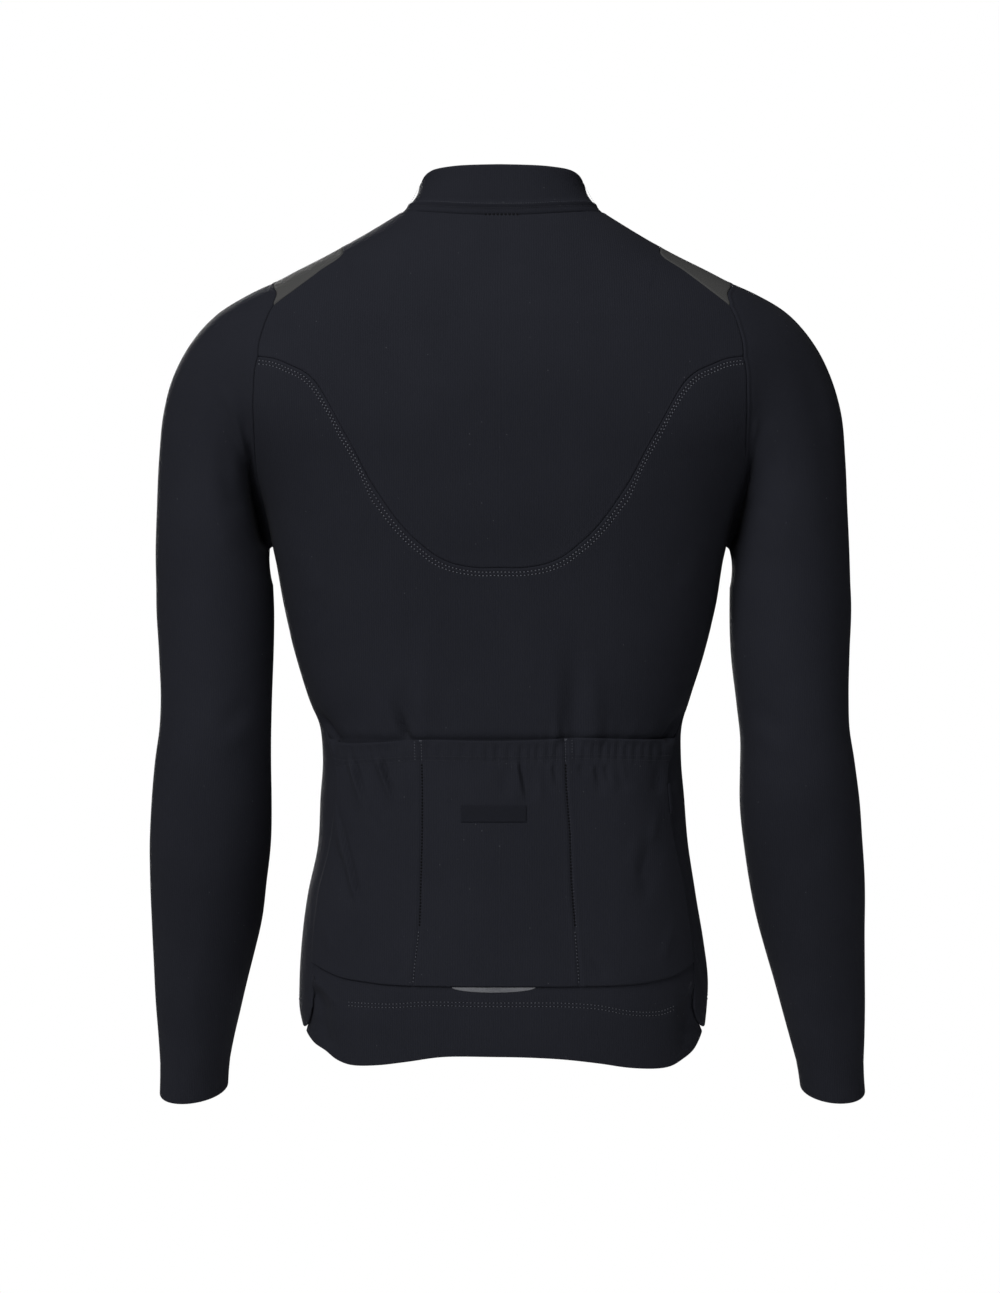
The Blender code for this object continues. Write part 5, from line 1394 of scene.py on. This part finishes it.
def sleeve_face(side, seams):
    """The sleeve's smooth outer face, a grid from the armhole to the cuff, and its normals."""
    loop = mirrored(armhole_loop(seams), side)
    start, normal = bare_body(*loop.T), body_normal(*loop.T)
    start = start + normal * body_folds(start)[:, None]
    along = unit(np.roll(start, -FINE, 0) - np.roll(start, FINE, 0))
    across = unit(np.cross(along, normal))
    inward = np.mean(start, axis=0) - start
    across = across * np.sign(np.sum(across * inward, axis=1, keepdims=True))
    across = unit(softened(across, FINE))
    turns = np.arange(ARM_COLUMNS) * 360 / ARM_COLUMNS
    top, last = float(ARM_RINGS[0].height), ARM_RINGS[-1].height
    end = arm_point(side, turns, np.full(ARM_COLUMNS, top))
    below = arm_point(side, turns, np.full(ARM_COLUMNS, top - 2 * ARM_STEP))
    arm_axis = unit(below - end)

    # Each column is a cubic curve from the armhole to the arm's top ring, with two handles.
    chord = np.linalg.norm(end - start, axis=1, keepdims=True)
    openness = (0.5 + 0.5 * np.cos(np.radians(turns)))[:, None]  # 1 on the shoulder, 0 in the armpit
    reach = ARMPIT_HANDLE + (CAP_HANDLE * chord - ARMPIT_HANDLE) * openness**CAP_OPENING
    outward = unit(np.array([SIDES[side] * ARMPIT_OUT[0], 0, ARMPIT_OUT[1]]))
    under = (1 - openness) ** ARMPIT_CLOSING
    aside = ARMPIT_ROUND * under
    first = start + reach * unit(across * (1 - aside) + outward * aside)
    second = end - arm_axis * chord * ARM_HANDLE
    second = second + np.array([SIDES[side], 0, 0]) * ARMPIT_SPREAD * under

    profile = np.stack([SIDES[side] * column(SHOULDER_LINE, side), column(SHOULDER_LINE, "height")])
    profile = np.concatenate([start[:1, [0, 2]], profile.T])
    length = travelled(profile)
    rows = []
    for t in np.linspace(0, 1, CAP_STRIPS + 1):
        cubic = ((1 - t) ** 3, 3 * t * (1 - t) ** 2, 3 * t * t * (1 - t), t**3)
        line = sum(share * points for share, points in zip(cubic, (start, first, second, end)))
        # The seam's corner on the shoulder's ridge isn't carried on down the sleeve.
        settle = ease(*SETTLE_IN, t) * ease(*SETTLE_OUT, t) * ease(*SETTLE_OPENING, openness)
        line = line + settle * (softened(line, 2 * FINE) - line)
        x, z = (smooth(length, values, t * length[-1]) for values in profile.T)
        wanted = np.array([x, (1 - t) * start[0, 1] + t * end[0, 1], z])
        rows.append(line + openness**2 * (wanted - line[0]))
    for height in np.linspace(top, last, ARM_STRIPS + 1)[1:]:
        rows.append(arm_point(side, turns, np.full(ARM_COLUMNS, height)))
    face = np.array(rows)
    round_it = np.roll(face, -1, 1) - np.roll(face, 1, 1)
    normals = unit(np.cross(np.gradient(face, axis=0), round_it)) * SIDES[side]
    middle = face.mean(axis=1, keepdims=True)
    normals = normals * np.sign(np.sum(normals[-1] * (face[-1] - middle[-1])))
    normals[0] = normal
    # The columns start under the arm, where the cloth's own map has its seam.
    half = ARM_COLUMNS // 2
    return np.roll(face, -half, 1), np.roll(normals, -half, 1)


ARMPIT_HOLLOWS = {
    "left": (Fold(-201, -182, -186, -264, 7.5, 22),),
    "right": (Fold(200, -180, 187, -258, 7.0, 10),),
}
HOLLOW_GROWTH, SLEEVE_GROWTH = 0.55, 0.5
HOLLOW_LEAN = 0.35  # a hollow goes in along Y and this share of it outwards
# Where a hollow comes in: by the face's direction, from the armhole's seam, and up from its foot.
HOLLOW_FACING, HOLLOW_START, HOLLOW_END = (0.15, -0.2), (0.1, 3.6), (-276, -258)
FOLDS_BEHIND, FOLDS_BEFORE = (-0.05, -0.35), (0.05, 0.35)  # the sleeves' folds, by direction


def armpit_hollow(side, face, normals, top):
    """The cloth that falls in between the arm and the back, as a shift of the sleeve's face."""
    depth = fold_height(ARMPIT_HOLLOWS[side], face, HOLLOW_GROWTH)
    depth = depth * ease(*HOLLOW_FACING, normals[..., 1])
    depth = depth * ease(*HOLLOW_START, top) * ease(*HOLLOW_END, face[..., 2])
    return depth[..., None] * np.array([SIDES[side] * HOLLOW_LEAN, 1, 0])


def sleeve_relief(side, face, normals):
    facing = normals[..., 1]
    behind = fold_height(SLEEVE_FOLDS[side], face, SLEEVE_GROWTH) * ease(*FOLDS_BEHIND, facing)
    before = fold_height(SLEEVE_FRONT_FOLDS[side], face, SLEEVE_GROWTH) * ease(*FOLDS_BEFORE, facing)
    return behind + before + ripple(face)


def with_edges(face, normals, lines):
    """A face and its normals with the lines that each edge's form needs."""
    values = np.concatenate([face, normals], axis=-1)
    for side, distances in lines.items():
        values = with_lines(values, values[..., :3], side, distances)
    return values[..., :3], unit(values[..., 3:])


def sleeve(side, seams, black):
    """A tube from the armhole to the cuff."""
    face, normals = (np.append(v, v[:, :1], axis=1) for v in sleeve_face(side, seams))
    face, normals = with_edges(face, normals, {"top": ARMHOLE_LINES, "bottom": EDGE_LINES})
    top, bottom = from_edge(face, "top"), from_edge(face, "bottom")
    rise = sleeve_relief(side, face, normals) * ease(0, SLEEVE_CALM, top)
    edge = armhole_seam(top) + free_edge(bottom) + swells(bottom, CUFF_SWELLS)
    edge = edge + CUFF_STEP * (1 - ease(*CUFF_HEM, bottom))
    shift = drawn_back(face, ("top", "bottom")) + armpit_hollow(side, face, normals, top)
    outer = face + normals * (rise + edge)[..., None] + shift
    inner = face + normals * (rise - CLOTH - free_edge(bottom))[..., None] + shift
    u, v = travelled(face, axis=1), travelled(face).mean(axis=1, keepdims=True)
    uv = np.stack(np.broadcast_arrays(u - u[:, -1:] / 2, -v), axis=-1)
    shell(f"sleeve_{side}_cloth", outer[:, :-1], inner[:, :-1], uv, black, closed=True)


def collar_top(angle):
    """The collar's upper edge at an angle round the neck."""
    x, y = outline(angle, COLLAR_LEFT, COLLAR_RIGHT, COLLAR_TOP_BACK, COLLAR_TOP_FRONT)
    z = smooth(column(COLLAR_TOP, "angle"), column(COLLAR_TOP, "height"), np.abs(angle))
    return np.stack([x, y, z], axis=-1)


def collar(neck_left, neck_back, neck_right, black):
    """The stand-up collar, from one side of the zip round the back of the neck to the other."""
    base = joined(neck_left, neck_back, neck_right[::-1])
    foot, foot_normal = bare_body(*base.T), body_normal(*base.T)
    foot = foot + foot_normal * body_folds(foot)[:, None]
    behind = (NECK_MIDDLE_Y - foot[:, 1]) / NECK_HALF_DEPTH
    round_neck = np.degrees(np.arctan2(foot[:, 0] / NECK_HALF_WIDTH, behind))
    for end, sign, wide in ((0, -1, COLLAR_LEFT), (-1, 1, COLLAR_RIGHT)):
        edge = math.asin((ZIP_HALF_WIDTH / wide) ** (ROUNDNESS / 2))
        round_neck[end] = sign * (180 - np.degrees(edge))
    head = collar_top(round_neck)
    sideways = np.sin(np.radians(round_neck)) ** 2
    flare = (COLLAR_RISE + (COLLAR_FLARE - COLLAR_RISE) * sideways)[:, None]
    rows = []
    for up in np.linspace(1, 0, COLLAR_STRIPS + 1):
        line = foot + (head - foot) * (1 - (1 - up) ** flare)
        line[:, 2] = foot[:, 2] + (head[:, 2] - foot[:, 2]) * up
        line[[0, -1], 0] = (foot + (head - foot) * up)[[0, -1], 0]
        rows.append(line)
    smooth_face = np.array(rows)
    normals = unit(np.cross(np.gradient(smooth_face, axis=0), np.gradient(smooth_face, axis=1)))
    normals = normals * np.sign(np.sum(normals[0] * (smooth_face - smooth_face.mean(axis=(0, 1)))[0]))
    normals[-1] = foot_normal
    lines = {"top": EDGE_LINES, "bottom": NECKBAND_LINES, "left": EDGE_LINES, "right": EDGE_LINES}
    face, normals = with_edges(smooth_face, normals, lines)
    away = {side: from_edge(face, side) for side in SEWN}
    rim = roll(away["top"], *COLLAR_ROLL)
    edge = rim + neck_seam(away["bottom"]) + plain_seam(away["left"]) + plain_seam(away["right"])
    soft = ripple(face) * ease(0, COLLAR_CALM, away["bottom"]) * COLLAR_RIPPLE
    shift = drawn_back(face, SEWN)
    outer = face + normals * (edge + soft)[..., None] + shift
    inner = face + normals * (soft - COLLAR_CLOTH - rim)[..., None] + shift
    u, v = travelled(face, axis=1), travelled(face)
    uv = np.stack([u - u[:, -1:] / 2, -v], axis=-1)
    shell("collar_cloth", outer, inner, uv, black, normals, away)
    return smooth_face


TEETH_PITCH, TEETH_CLEAR = 1.5, {"start": 3.0, "end": 2.0}
TOOTH_REACH, TOOTH_RADIUS, TOOTH_DIP = 2.3, 0.42, 0.12
TOOTH_OVERLAP, TOOTH_LEAN, TOOTH_LIFT = 0.25, 0.16, 0.62
TAPE_CORD, CORD_LIFT = 3.0, 0.34  # where the tape's woven edge starts, from the zip's middle
TAPE_COLUMNS = (1.2, 2.1, 2.7, 3.4, 4.4, 5.2, ZIP_HALF_WIDTH - SEAM_GAP / 2)
TAPE_CROWN, TAPE_CROWN_END = 0.45, (2.1, 3.4)  # the tape is thicker under the teeth
TAPE_EDGE_SUNK = 0.3


def front_zip(centre, collar_face, tape, teeth):
    """The closed zip: its tape, and the coil's teeth that grip each other in the middle."""
    collar_line = (collar_face[:, 0] + collar_face[:, -1]) / 2
    line = np.concatenate([collar_line[:-1], bare_body(*centre.T)])
    line[:, 0] = 0
    rows = along_line(line, LINE_STEP)
    line = at_rows(line, np.concatenate([[0.0], rows, [len(line) - 1.0]]))
    down = unit(np.gradient(line, axis=0))
    forward = unit(np.cross(down, X))
    forward = forward * np.sign(forward[:, 1:2])
    half = np.array(TAPE_COLUMNS)
    across = np.concatenate([-half[::-1], [0], half])
    rise = TAPE_CROWN * (1 - ease(*TAPE_CROWN_END, np.abs(across)))
    rise[[0, -1]] -= TAPE_EDGE_SUNK
    flat = line[:, None] + across[None, :, None] * X
    outer = flat + forward[:, None] * rise[None, :, None]
    inner = flat - forward[:, None] * (ZIP_WALL - ZIP_CROWN)
    uv = np.stack(np.broadcast_arrays(across[None, :], -travelled(line)[:, None]), axis=-1)
    shell("zip_tape", outer, inner, uv, tape)

    middle, along, normal = on_line(line, forward, along_line(line, TEETH_PITCH, **TEETH_CLEAR))
    along = unit(along)
    groups = []
    for sign in (-1, 1):
        aside = X * sign * (TOOTH_REACH / 2 - TOOTH_OVERLAP) + along * (TEETH_PITCH / 4 * sign)
        centres = middle + aside + normal * TOOTH_LIFT
        lean = X + along * TOOTH_LEAN * sign
        groups.append(stitches_at(centres, lean, normal, TOOTH_REACH, TOOTH_RADIUS, TOOTH_DIP))
        cord = line + X * sign * TAPE_CORD + forward * CORD_LIFT
        groups.append(stitch_row(cord, forward, TAPE_STITCH))
    threads("zip_teeth", groups, teeth)


STRIP_LIFT, STRIP_GAP = 0.15, 0.12
STRIP_ROLL = (0.55, 0.9)  # share of the thickness, and over what width
STRIP_SHARES = (0.2, 0.5)
LABEL_COLUMNS, LABEL_ROWS, LABEL_THICKNESS = 39, 10, 0.7
TAB_COLUMNS, TAB_ROWS, TAB_THICKNESS = 48, 8, 0.5
SIDE_TAB_ROWS, SIDE_TAB_COLUMNS, SIDE_TAB_THICKNESS = 24, 8, 1.0
SIDE_TAB_SPAN, SIDE_TAB_CLEAR, SIDE_TAB_ROLL = (-1, 0.5), 0.5, (0.4, 1.0)


def strip_on(name, panel, tops, bottoms, xs, material, thickness, rows):
    """A small piece laid on a panel, between two heights at each x, seen from the back."""
    share = np.linspace(0, 1, rows + 1)[:, None]
    x, z = np.broadcast_arrays(xs, (1 - share) * tops + share * bottoms)
    grid = np.concatenate(lay_on(panel, x, z), axis=-1)
    for side in SEWN:
        grid = with_shares(grid, side, STRIP_SHARES)
    points, normals = grid[..., :3], unit(grid[..., 3:])
    away = np.min([from_edge(points, side) for side in SEWN], axis=0)
    height = STRIP_LIFT + thickness + roll(away, thickness * STRIP_ROLL[0], STRIP_ROLL[1])
    outer = points + normals * height[..., None]
    inner = points + normals * STRIP_GAP
    uv = np.stack(np.broadcast_arrays(travelled(points[0])[None, :], points[..., 2]), axis=-1)
    shell(name, outer, inner, uv, material)


def trim(black_trim, silver):
    """The label, and the reflective tab under the pockets."""
    xs = np.linspace(LABEL_LEFT, LABEL_RIGHT, LABEL_COLUMNS + 1)
    form = (LABEL_TOP, LABEL_BOTTOM, xs, black_trim, LABEL_THICKNESS, LABEL_ROWS)
    strip_on("label_patch", made["pocket_cloth"], *form)
    across = np.linspace(-1, 1, TAB_COLUMNS + 1)
    lens = np.sqrt(np.maximum(1 - across**2, TAB_END**2))
    xs = np.linspace(TAB_LEFT, TAB_RIGHT, TAB_COLUMNS + 1)
    top = POCKET_BOTTOM_EDGE[0].left - SEAM_GAP
    form = (top, top - TAB_DROP * lens, xs, silver, TAB_THICKNESS, TAB_ROWS)
    strip_on("reflective_patch", made["back_body_cloth"], *form)


def side_tab(black_trim):
    """A folded tab that stands out of the side seam over the pocket's edge."""
    grid = side_route(SIDE_TAB_TOP, SIDE_TAB_BOTTOM, SIDE_TAB_ROWS)
    columns = np.linspace(*SIDE_TAB_SPAN, SIDE_TAB_COLUMNS + 1)
    angle = grid[:, :1] + columns[None] * SIDE_TAB_WIDTH / 2
    level = np.broadcast_to(grid[:, 1:], angle.shape)
    points, normals = bare_body(angle, level), body_normal(angle, level)
    away = np.min([from_edge(points, side) for side in SEWN], axis=0)
    stand = LAY_GAP + POCKET_CLOTH + SIDE_TAB_CLEAR + LAY_GAP
    height = stand + SIDE_TAB_THICKNESS + roll(away, *SIDE_TAB_ROLL)
    outer = points + normals * height[..., None]
    shell("side_tab_cloth", outer, points + normals * stand, points[..., [0, 2]], black_trim)


BAR_PITCH, BAR_WIDTH = 0.55, 2.6
BAR_LIFT, BAR_RADIUS, BAR_DIP = 0.2, 0.26, 0.25


def bartack(panel, x, z, length, angle, width=BAR_WIDTH):
    """A short dense bar of stitches, turned from the vertical by an angle in degrees."""
    turn = math.radians(angle)
    along = np.linspace(-length / 2, length / 2, int(length / BAR_PITCH) + 1)
    points, normals = lay_on(panel, x + along * math.sin(turn), z + along * math.cos(turn))
    across = np.broadcast_to([math.cos(turn), 0, -math.sin(turn)], points.shape)
    return stitches_at(points + normals * BAR_LIFT, across, normals, width, BAR_RADIUS, BAR_DIP)


CASING_END, DOUBLE_APART = -441.5, 5.4  # a divider's second row ends here, this far beside it
DIVIDER_BRIGHT = -575.0  # its stitches show more below this height
DIVIDER_POINTS, DIVIDER_START, DOT_ASIDE, LOWER_ASIDE = 8, 1.5, 1.3, -0.4
TACK_ASIDE, TACK_DROP, TACK_SIZE = 0.5, 1.6, (1.4, 90, 1.2)  # length, turn and width
COLLAR_RIDGE, COLLAR_CLEAR = 8.8, 105.0  # the ridge's row of stitches runs round the back alone
COVER_CLEAR = {"start": 1.5, "end": 1.5}
NECK_TOPSTITCH, ZIP_TOPSTITCH = 5.2, 2.6
# Plain rows: how far from which edge of a panel they run, and what they leave bare at each end.
PlainRow = namedtuple("PlainRow", "panel edge aside start end")


def front_rows(side, zip_edge):
    """The plain rows beside the zip and along the hem of one front."""
    front = f"front_{side}_cloth"
    yield PlainRow(front, zip_edge, ZIP_TOPSTITCH, 3, 3)
    yield PlainRow("collar_cloth", side, ZIP_TOPSTITCH, 3, 8)
    for row in FRONT_HEM_ROWS:
        yield PlainRow(front, "bottom", row, 8, 4)


PLAIN_ROWS = (
    *(PlainRow("pocket_cloth", "top", row, 3, 3) for row in BAND_ROWS),
    PlainRow("collar_cloth", "bottom", NECK_TOPSTITCH, 4, 4),
    *front_rows("left", "right"),
    *front_rows("right", "left"),
)
HEM_ROWS_APART = 2.8
TAIL_BARTACKS = ((-150, -616, 5, -25), (153, -622, 5, 25))
TICK_LINE, TICK_LIFT, TICK_SIZE = 0.6, 0.4, (2.8, 0.4)
# near-black pieces of painted shade between the neck's ticks: their lift and size
TICK_SHADE_LIFT, TICK_SHADE_SIZE = 0.5, (3.4, 0.42)
NECK_TICKS = (-11.5, -8.2, -4.9, -1.8, 1.4, 4.6, 7.9, 11.0, 14.2)


def divider_rows(pocket, side):
    """A divider's stitches and the painted shade of its holes. It is a double row in the casing."""
    (top_x, top), *_, (_, foot) = DIVIDERS[side]

    def part(start, end, aside=0.0):
        height = np.linspace(start, end, DIVIDER_POINTS)
        return on_face(pocket, np.stack([divider_x(side, height) + aside, height], axis=1))

    rows = [
        stitch_row(*part(top - DIVIDER_START, CASING_END, aside), CASING_STITCH)
        for aside in (0, SIDES[side] * DOUBLE_APART)
    ]
    middle, normals = part(CASING_END, DIVIDER_BRIGHT)
    lower, lower_normals = part(DIVIDER_BRIGHT, foot)
    rows.append(stitch_row(middle + X * DOT_ASIDE, normals, DOT_STITCH))
    rows.append(stitch_row(lower + X * LOWER_ASIDE, lower_normals, LOWER_STITCH))
    tack = (top_x + SIDES[side] * TACK_ASIDE, top - TACK_DROP)
    rows.append(bartack(pocket, *tack, *TACK_SIZE))
    middle_rows, lower_rows = along_line(middle, DOT_STITCH.pitch), along_line(lower, LOWER_STITCH.pitch)
    hole_shades = [
        hole_shades_between(middle, normals, middle_rows, DIVIDER_HOLE),
        hole_shades_between(lower, lower_normals, lower_rows, LOWER_HOLE),
    ]
    return rows, hole_shades


def neck_ticks(plain_thread):
    """Short upright stitches in the neck's seam, and painted shade in the places between them."""
    points, normals = edge_line(made["back_yoke_cloth"], "top", TICK_LINE)
    line = np.concatenate([points, normals], axis=1)[np.argsort(points[:, 0])]
    ticks = np.array([[np.interp(x, line[:, 0], values) for values in line.T] for x in NECK_TICKS])
    up = np.broadcast_to([0.0, 0, 1], (len(ticks), 3))
    middle, normal = ticks[:, :3], unit(ticks[:, 3:])
    between = (middle[:-1] + middle[1:]) / 2 + normal[1:] * TICK_LIFT
    ticks = stitches_at(between, up[1:], normal[1:], *TICK_SIZE)
    threads("neck_ticks", [ticks], plain_thread)
    return stitches_at(middle + normal * TICK_SHADE_LIFT, up, normal, *TICK_SHADE_SIZE)


def sewing(thread, plain_thread, painted_hole_shade):
    """Every visible row of stitches, and the painted shade in their needle holes."""
    back, pocket = made["back_body_cloth"], made["pocket_cloth"]
    rows = [edge_line(back, "top", row) for row in COVER_ROWS]
    bright, hole_shades, plain = cover_stitch(*rows, **COVER_CLEAR)
    threads("yoke_stitches", bright, thread)

    hem_rows = []
    for drop in (0, HEM_ROWS_APART):
        points, normals = on_face(back, np.array(HEM_STITCHES) - [0, drop])
        hem_rows.append(stitch_row(points, normals, HEM_STITCH))
        hole_shades.append(hole_shades_between(points, normals, along_line(points, HEM_STITCH.pitch)))
    plain += [bartack(back, *place) for place in TAIL_BARTACKS]
    threads("hem_stitches", hem_rows, thread)

    dividers = []
    for side in SIDES:
        rows, divider_hole_shades = divider_rows(pocket, side)
        dividers += rows
        hole_shades += divider_hole_shades
    ridge = edge_line(made["collar_cloth"], "bottom", COLLAR_RIDGE)
    dividers.append(stitch_row(*ridge, RIDGE_STITCH, start=COLLAR_CLEAR, end=COLLAR_CLEAR))
    for row in PLAIN_ROWS:
        line = edge_line(made[row.panel], row.edge, row.aside)
        plain.append(stitch_row(*line, start=row.start, end=row.end))
    threads("divider_stitches", dividers, thread)
    threads("plain_stitches", plain, plain_thread)
    hole_shades.append(neck_ticks(plain_thread))
    # the needle holes' painted shade, as one near-black piece
    threads("needle_hole_painted_shade", hole_shades, painted_hole_shade)


# ---------------------------------------------------------------- making it
black = knit("black_knit_cloth", (0.0088, 0.0094, 0.0128), (0.0186, 0.0196, 0.0256))
grey = knit(
    "grey_knit_cloth",
    (0.034, 0.034, 0.034),
    (0.071, 0.071, 0.07),
    rib=0.0021,
    slant=-1.0,
    lint=0.0,
    rough_bump=0.5,
)
tape = knit(
    "zip_tape_cloth", (0.007, 0.007, 0.009), (0.014, 0.014, 0.017), rib=0.0012, lint=0.0
)
silver = smooth_trim(
    "silver_reflective_film", (0.09, 0.092, 0.1), (0.145, 0.148, 0.16), 0.5, 0.1, 700.0
)
label = smooth_trim("label_weave", (0.0054, 0.0059, 0.009), (0.0088, 0.0096, 0.0138), 0.9)
thread = smooth_trim("sewing_thread", (0.07, 0.073, 0.088), (0.125, 0.13, 0.148), 0.7)
plain_thread = smooth_trim("plain_thread", (0.014, 0.0146, 0.019), (0.026, 0.0272, 0.034), 0.8)
# painted shade: a near-black material for the needle holes and the gaps between the neck's ticks
painted_hole_shade = smooth_trim("painted_hole_shade", (0.0012, 0.0012, 0.0015), (0.003, 0.003, 0.0035), 0.9)
teeth = smooth_trim("zip_coil", (0.008, 0.008, 0.01), (0.016, 0.016, 0.018), 0.38)
metal = smooth_trim("dark_metal", (0.07, 0.07, 0.075), (0.13, 0.13, 0.135), 0.34, 1.0, 1200.0, 0.12)

seams = half_seams()
neck_back, pocket_grid = back_panels(seams, black)
pockets(pocket_grid, black)
necks = {}
for side in SIDES:
    necks[side], centre = front_panel(side, seams, black)
    shoulder_panel(side, seams, grey)
    sleeve(side, seams, black)
collar_face = collar(necks["left"], neck_back, necks["right"], black)
front_zip(centre, collar_face, tape, teeth)
trim(label, silver)
side_tab(label)
sewing(thread, plain_thread, painted_hole_shade)

STANDS_FOR = {
    "back_yoke_cloth": ("back_yoke", "black_knit"),
    "back_body_cloth": ("back_body", "black_knit"),
    "pocket_cloth": ("pocket_panel", "black_knit"),
    "front_left_cloth": ("front_left", "black_knit"),
    "front_right_cloth": ("front_right", "black_knit"),
    "shoulder_left_cloth": ("shoulder_panel_left", "grey_knit"),
    "shoulder_right_cloth": ("shoulder_panel_right", "grey_knit"),
    "sleeve_left_cloth": ("sleeve_left", "black_knit"),
    "sleeve_right_cloth": ("sleeve_right", "black_knit"),
    "collar_cloth": ("collar", "black_knit"),
    "zip_tape": ("front_zip", "zip_tape"),
    "label_patch": ("pocket_label", "black_knit"),
    "reflective_patch": ("reflective_tab", "reflective"),
    "side_tab_cloth": ("side_tab", "black_knit"),
}
for name, (cad_node, slot) in STANDS_FOR.items():
    piece = made[name].object
    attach(piece, "jacket")
    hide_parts(cad_node)

# The fields of a cloth piece's cut, in metres: all round on a tube, and a little less than the
# worn surface where the knit is stretched. No piece's cut is listed here.
Cut = namedtuple("Cut", "width length area held rests_on with_pieces")
for name in ("zip_slider", "zip_pull"):
    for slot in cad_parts[name].material_slots:
        slot.material = metal

# ---------------------------------------------------------------- floor, light and camera
FLOOR_HEIGHT, FLOOR_RADIUS, FLOOR_SIDES = -1.5, 2.4, 96
FLOOR_GLOW = (1.75, 2.75, 0.0, 0.75)  # between these distances its glow rises from 0 to 0.75
turn = np.linspace(0, 2 * math.pi, FLOOR_SIDES, endpoint=False)
rim = [(FLOOR_RADIUS * math.cos(t), FLOOR_RADIUS * math.sin(t), FLOOR_HEIGHT) for t in turn]
floor_mesh = bpy.data.meshes.new("studio_floor")
floor_mesh.from_pydata(rim, [], [tuple(range(FLOOR_SIDES))])
floor = placed("studio_floor", floor_mesh)
paint, floor_tree, floor_shader = new_material("pale_floor")
distance = node(floor_tree, "ShaderNodeVectorMath", {0: place_socket(floor_tree)}, operation="LENGTH")
look = {
    "Base Color": (0.8, 0.8, 0.8, 1),
    "Roughness": 0.9,
    "Specular IOR Level": 0.0,
    "Emission Color": (1, 1, 1, 1),
    "Emission Strength": spread(floor_tree, distance.outputs["Value"], *FLOOR_GLOW),
}
feed(floor_tree, floor_shader, look)
floor_mesh.materials.append(paint)

world = bpy.data.worlds.new("studio")
bpy.context.scene.world = world
world.use_nodes = True
background = world.node_tree.nodes["Background"]
background.inputs["Color"].default_value = (1, 1, 1, 1)
background.inputs["Strength"].default_value = 1.0
world.cycles_visibility.diffuse = False
world.cycles_visibility.glossy = False


def light_from(name, kind, towards, energy):
    """A light, turned by the way from the jacket towards it."""
    data = bpy.data.lights.new(name, kind)
    data.energy = energy
    obj = placed(name, data)
    obj.rotation_mode = "QUATERNION"
    obj.rotation_quaternion = towards.to_track_quat("Z", "Y")
    return obj


Sun = namedtuple("Sun", "name x y z strength softness")
SUNS = table(
    Sun,
    ("key", -0.57, -0.82, 0.78, 2.72, 32),
    ("fill", 0.75, -0.62, -0.05, 0.5, 50),
    ("front", -0.25, 1.0, 0.25, 3.2, 20),
)
for sun in SUNS:
    lamp = light_from(sun.name, "SUN", Vector((sun.x, sun.y, sun.z)), sun.strength)
    lamp.data.angle = math.radians(sun.softness)

# A soft box over the shoulders, which its nearness makes brighter than the hem.
TOP_PLACE, TOP_AIM = Vector((-0.3, -0.85, 0.8)), Vector((0, 0, -0.1))
TOP_POWER, TOP_SIZE = 6.0, 0.6
box = light_from("top", "AREA", TOP_PLACE - TOP_AIM, TOP_POWER)
box.location = TOP_PLACE
box.data.size = TOP_SIZE

CAMERA_DISTANCE, CAMERA_HEIGHT = 3.2, -0.34933
SCALE_WIDTH = 0.82  # metres of the garment's middle plane across the picture
SENSOR = 36
camera_data = bpy.data.cameras.new("camera")
camera_data.sensor_fit = "HORIZONTAL"
camera_data.sensor_width = SENSOR
camera_data.lens = SENSOR * CAMERA_DISTANCE / SCALE_WIDTH
camera_data.clip_end = 200
camera = placed("camera", camera_data)
camera.location = (0, -CAMERA_DISTANCE, CAMERA_HEIGHT)
camera.rotation_euler = (math.radians(90), 0, 0)
bpy.context.scene.camera = camera
bpy.context.scene.view_settings.view_transform = "Standard"
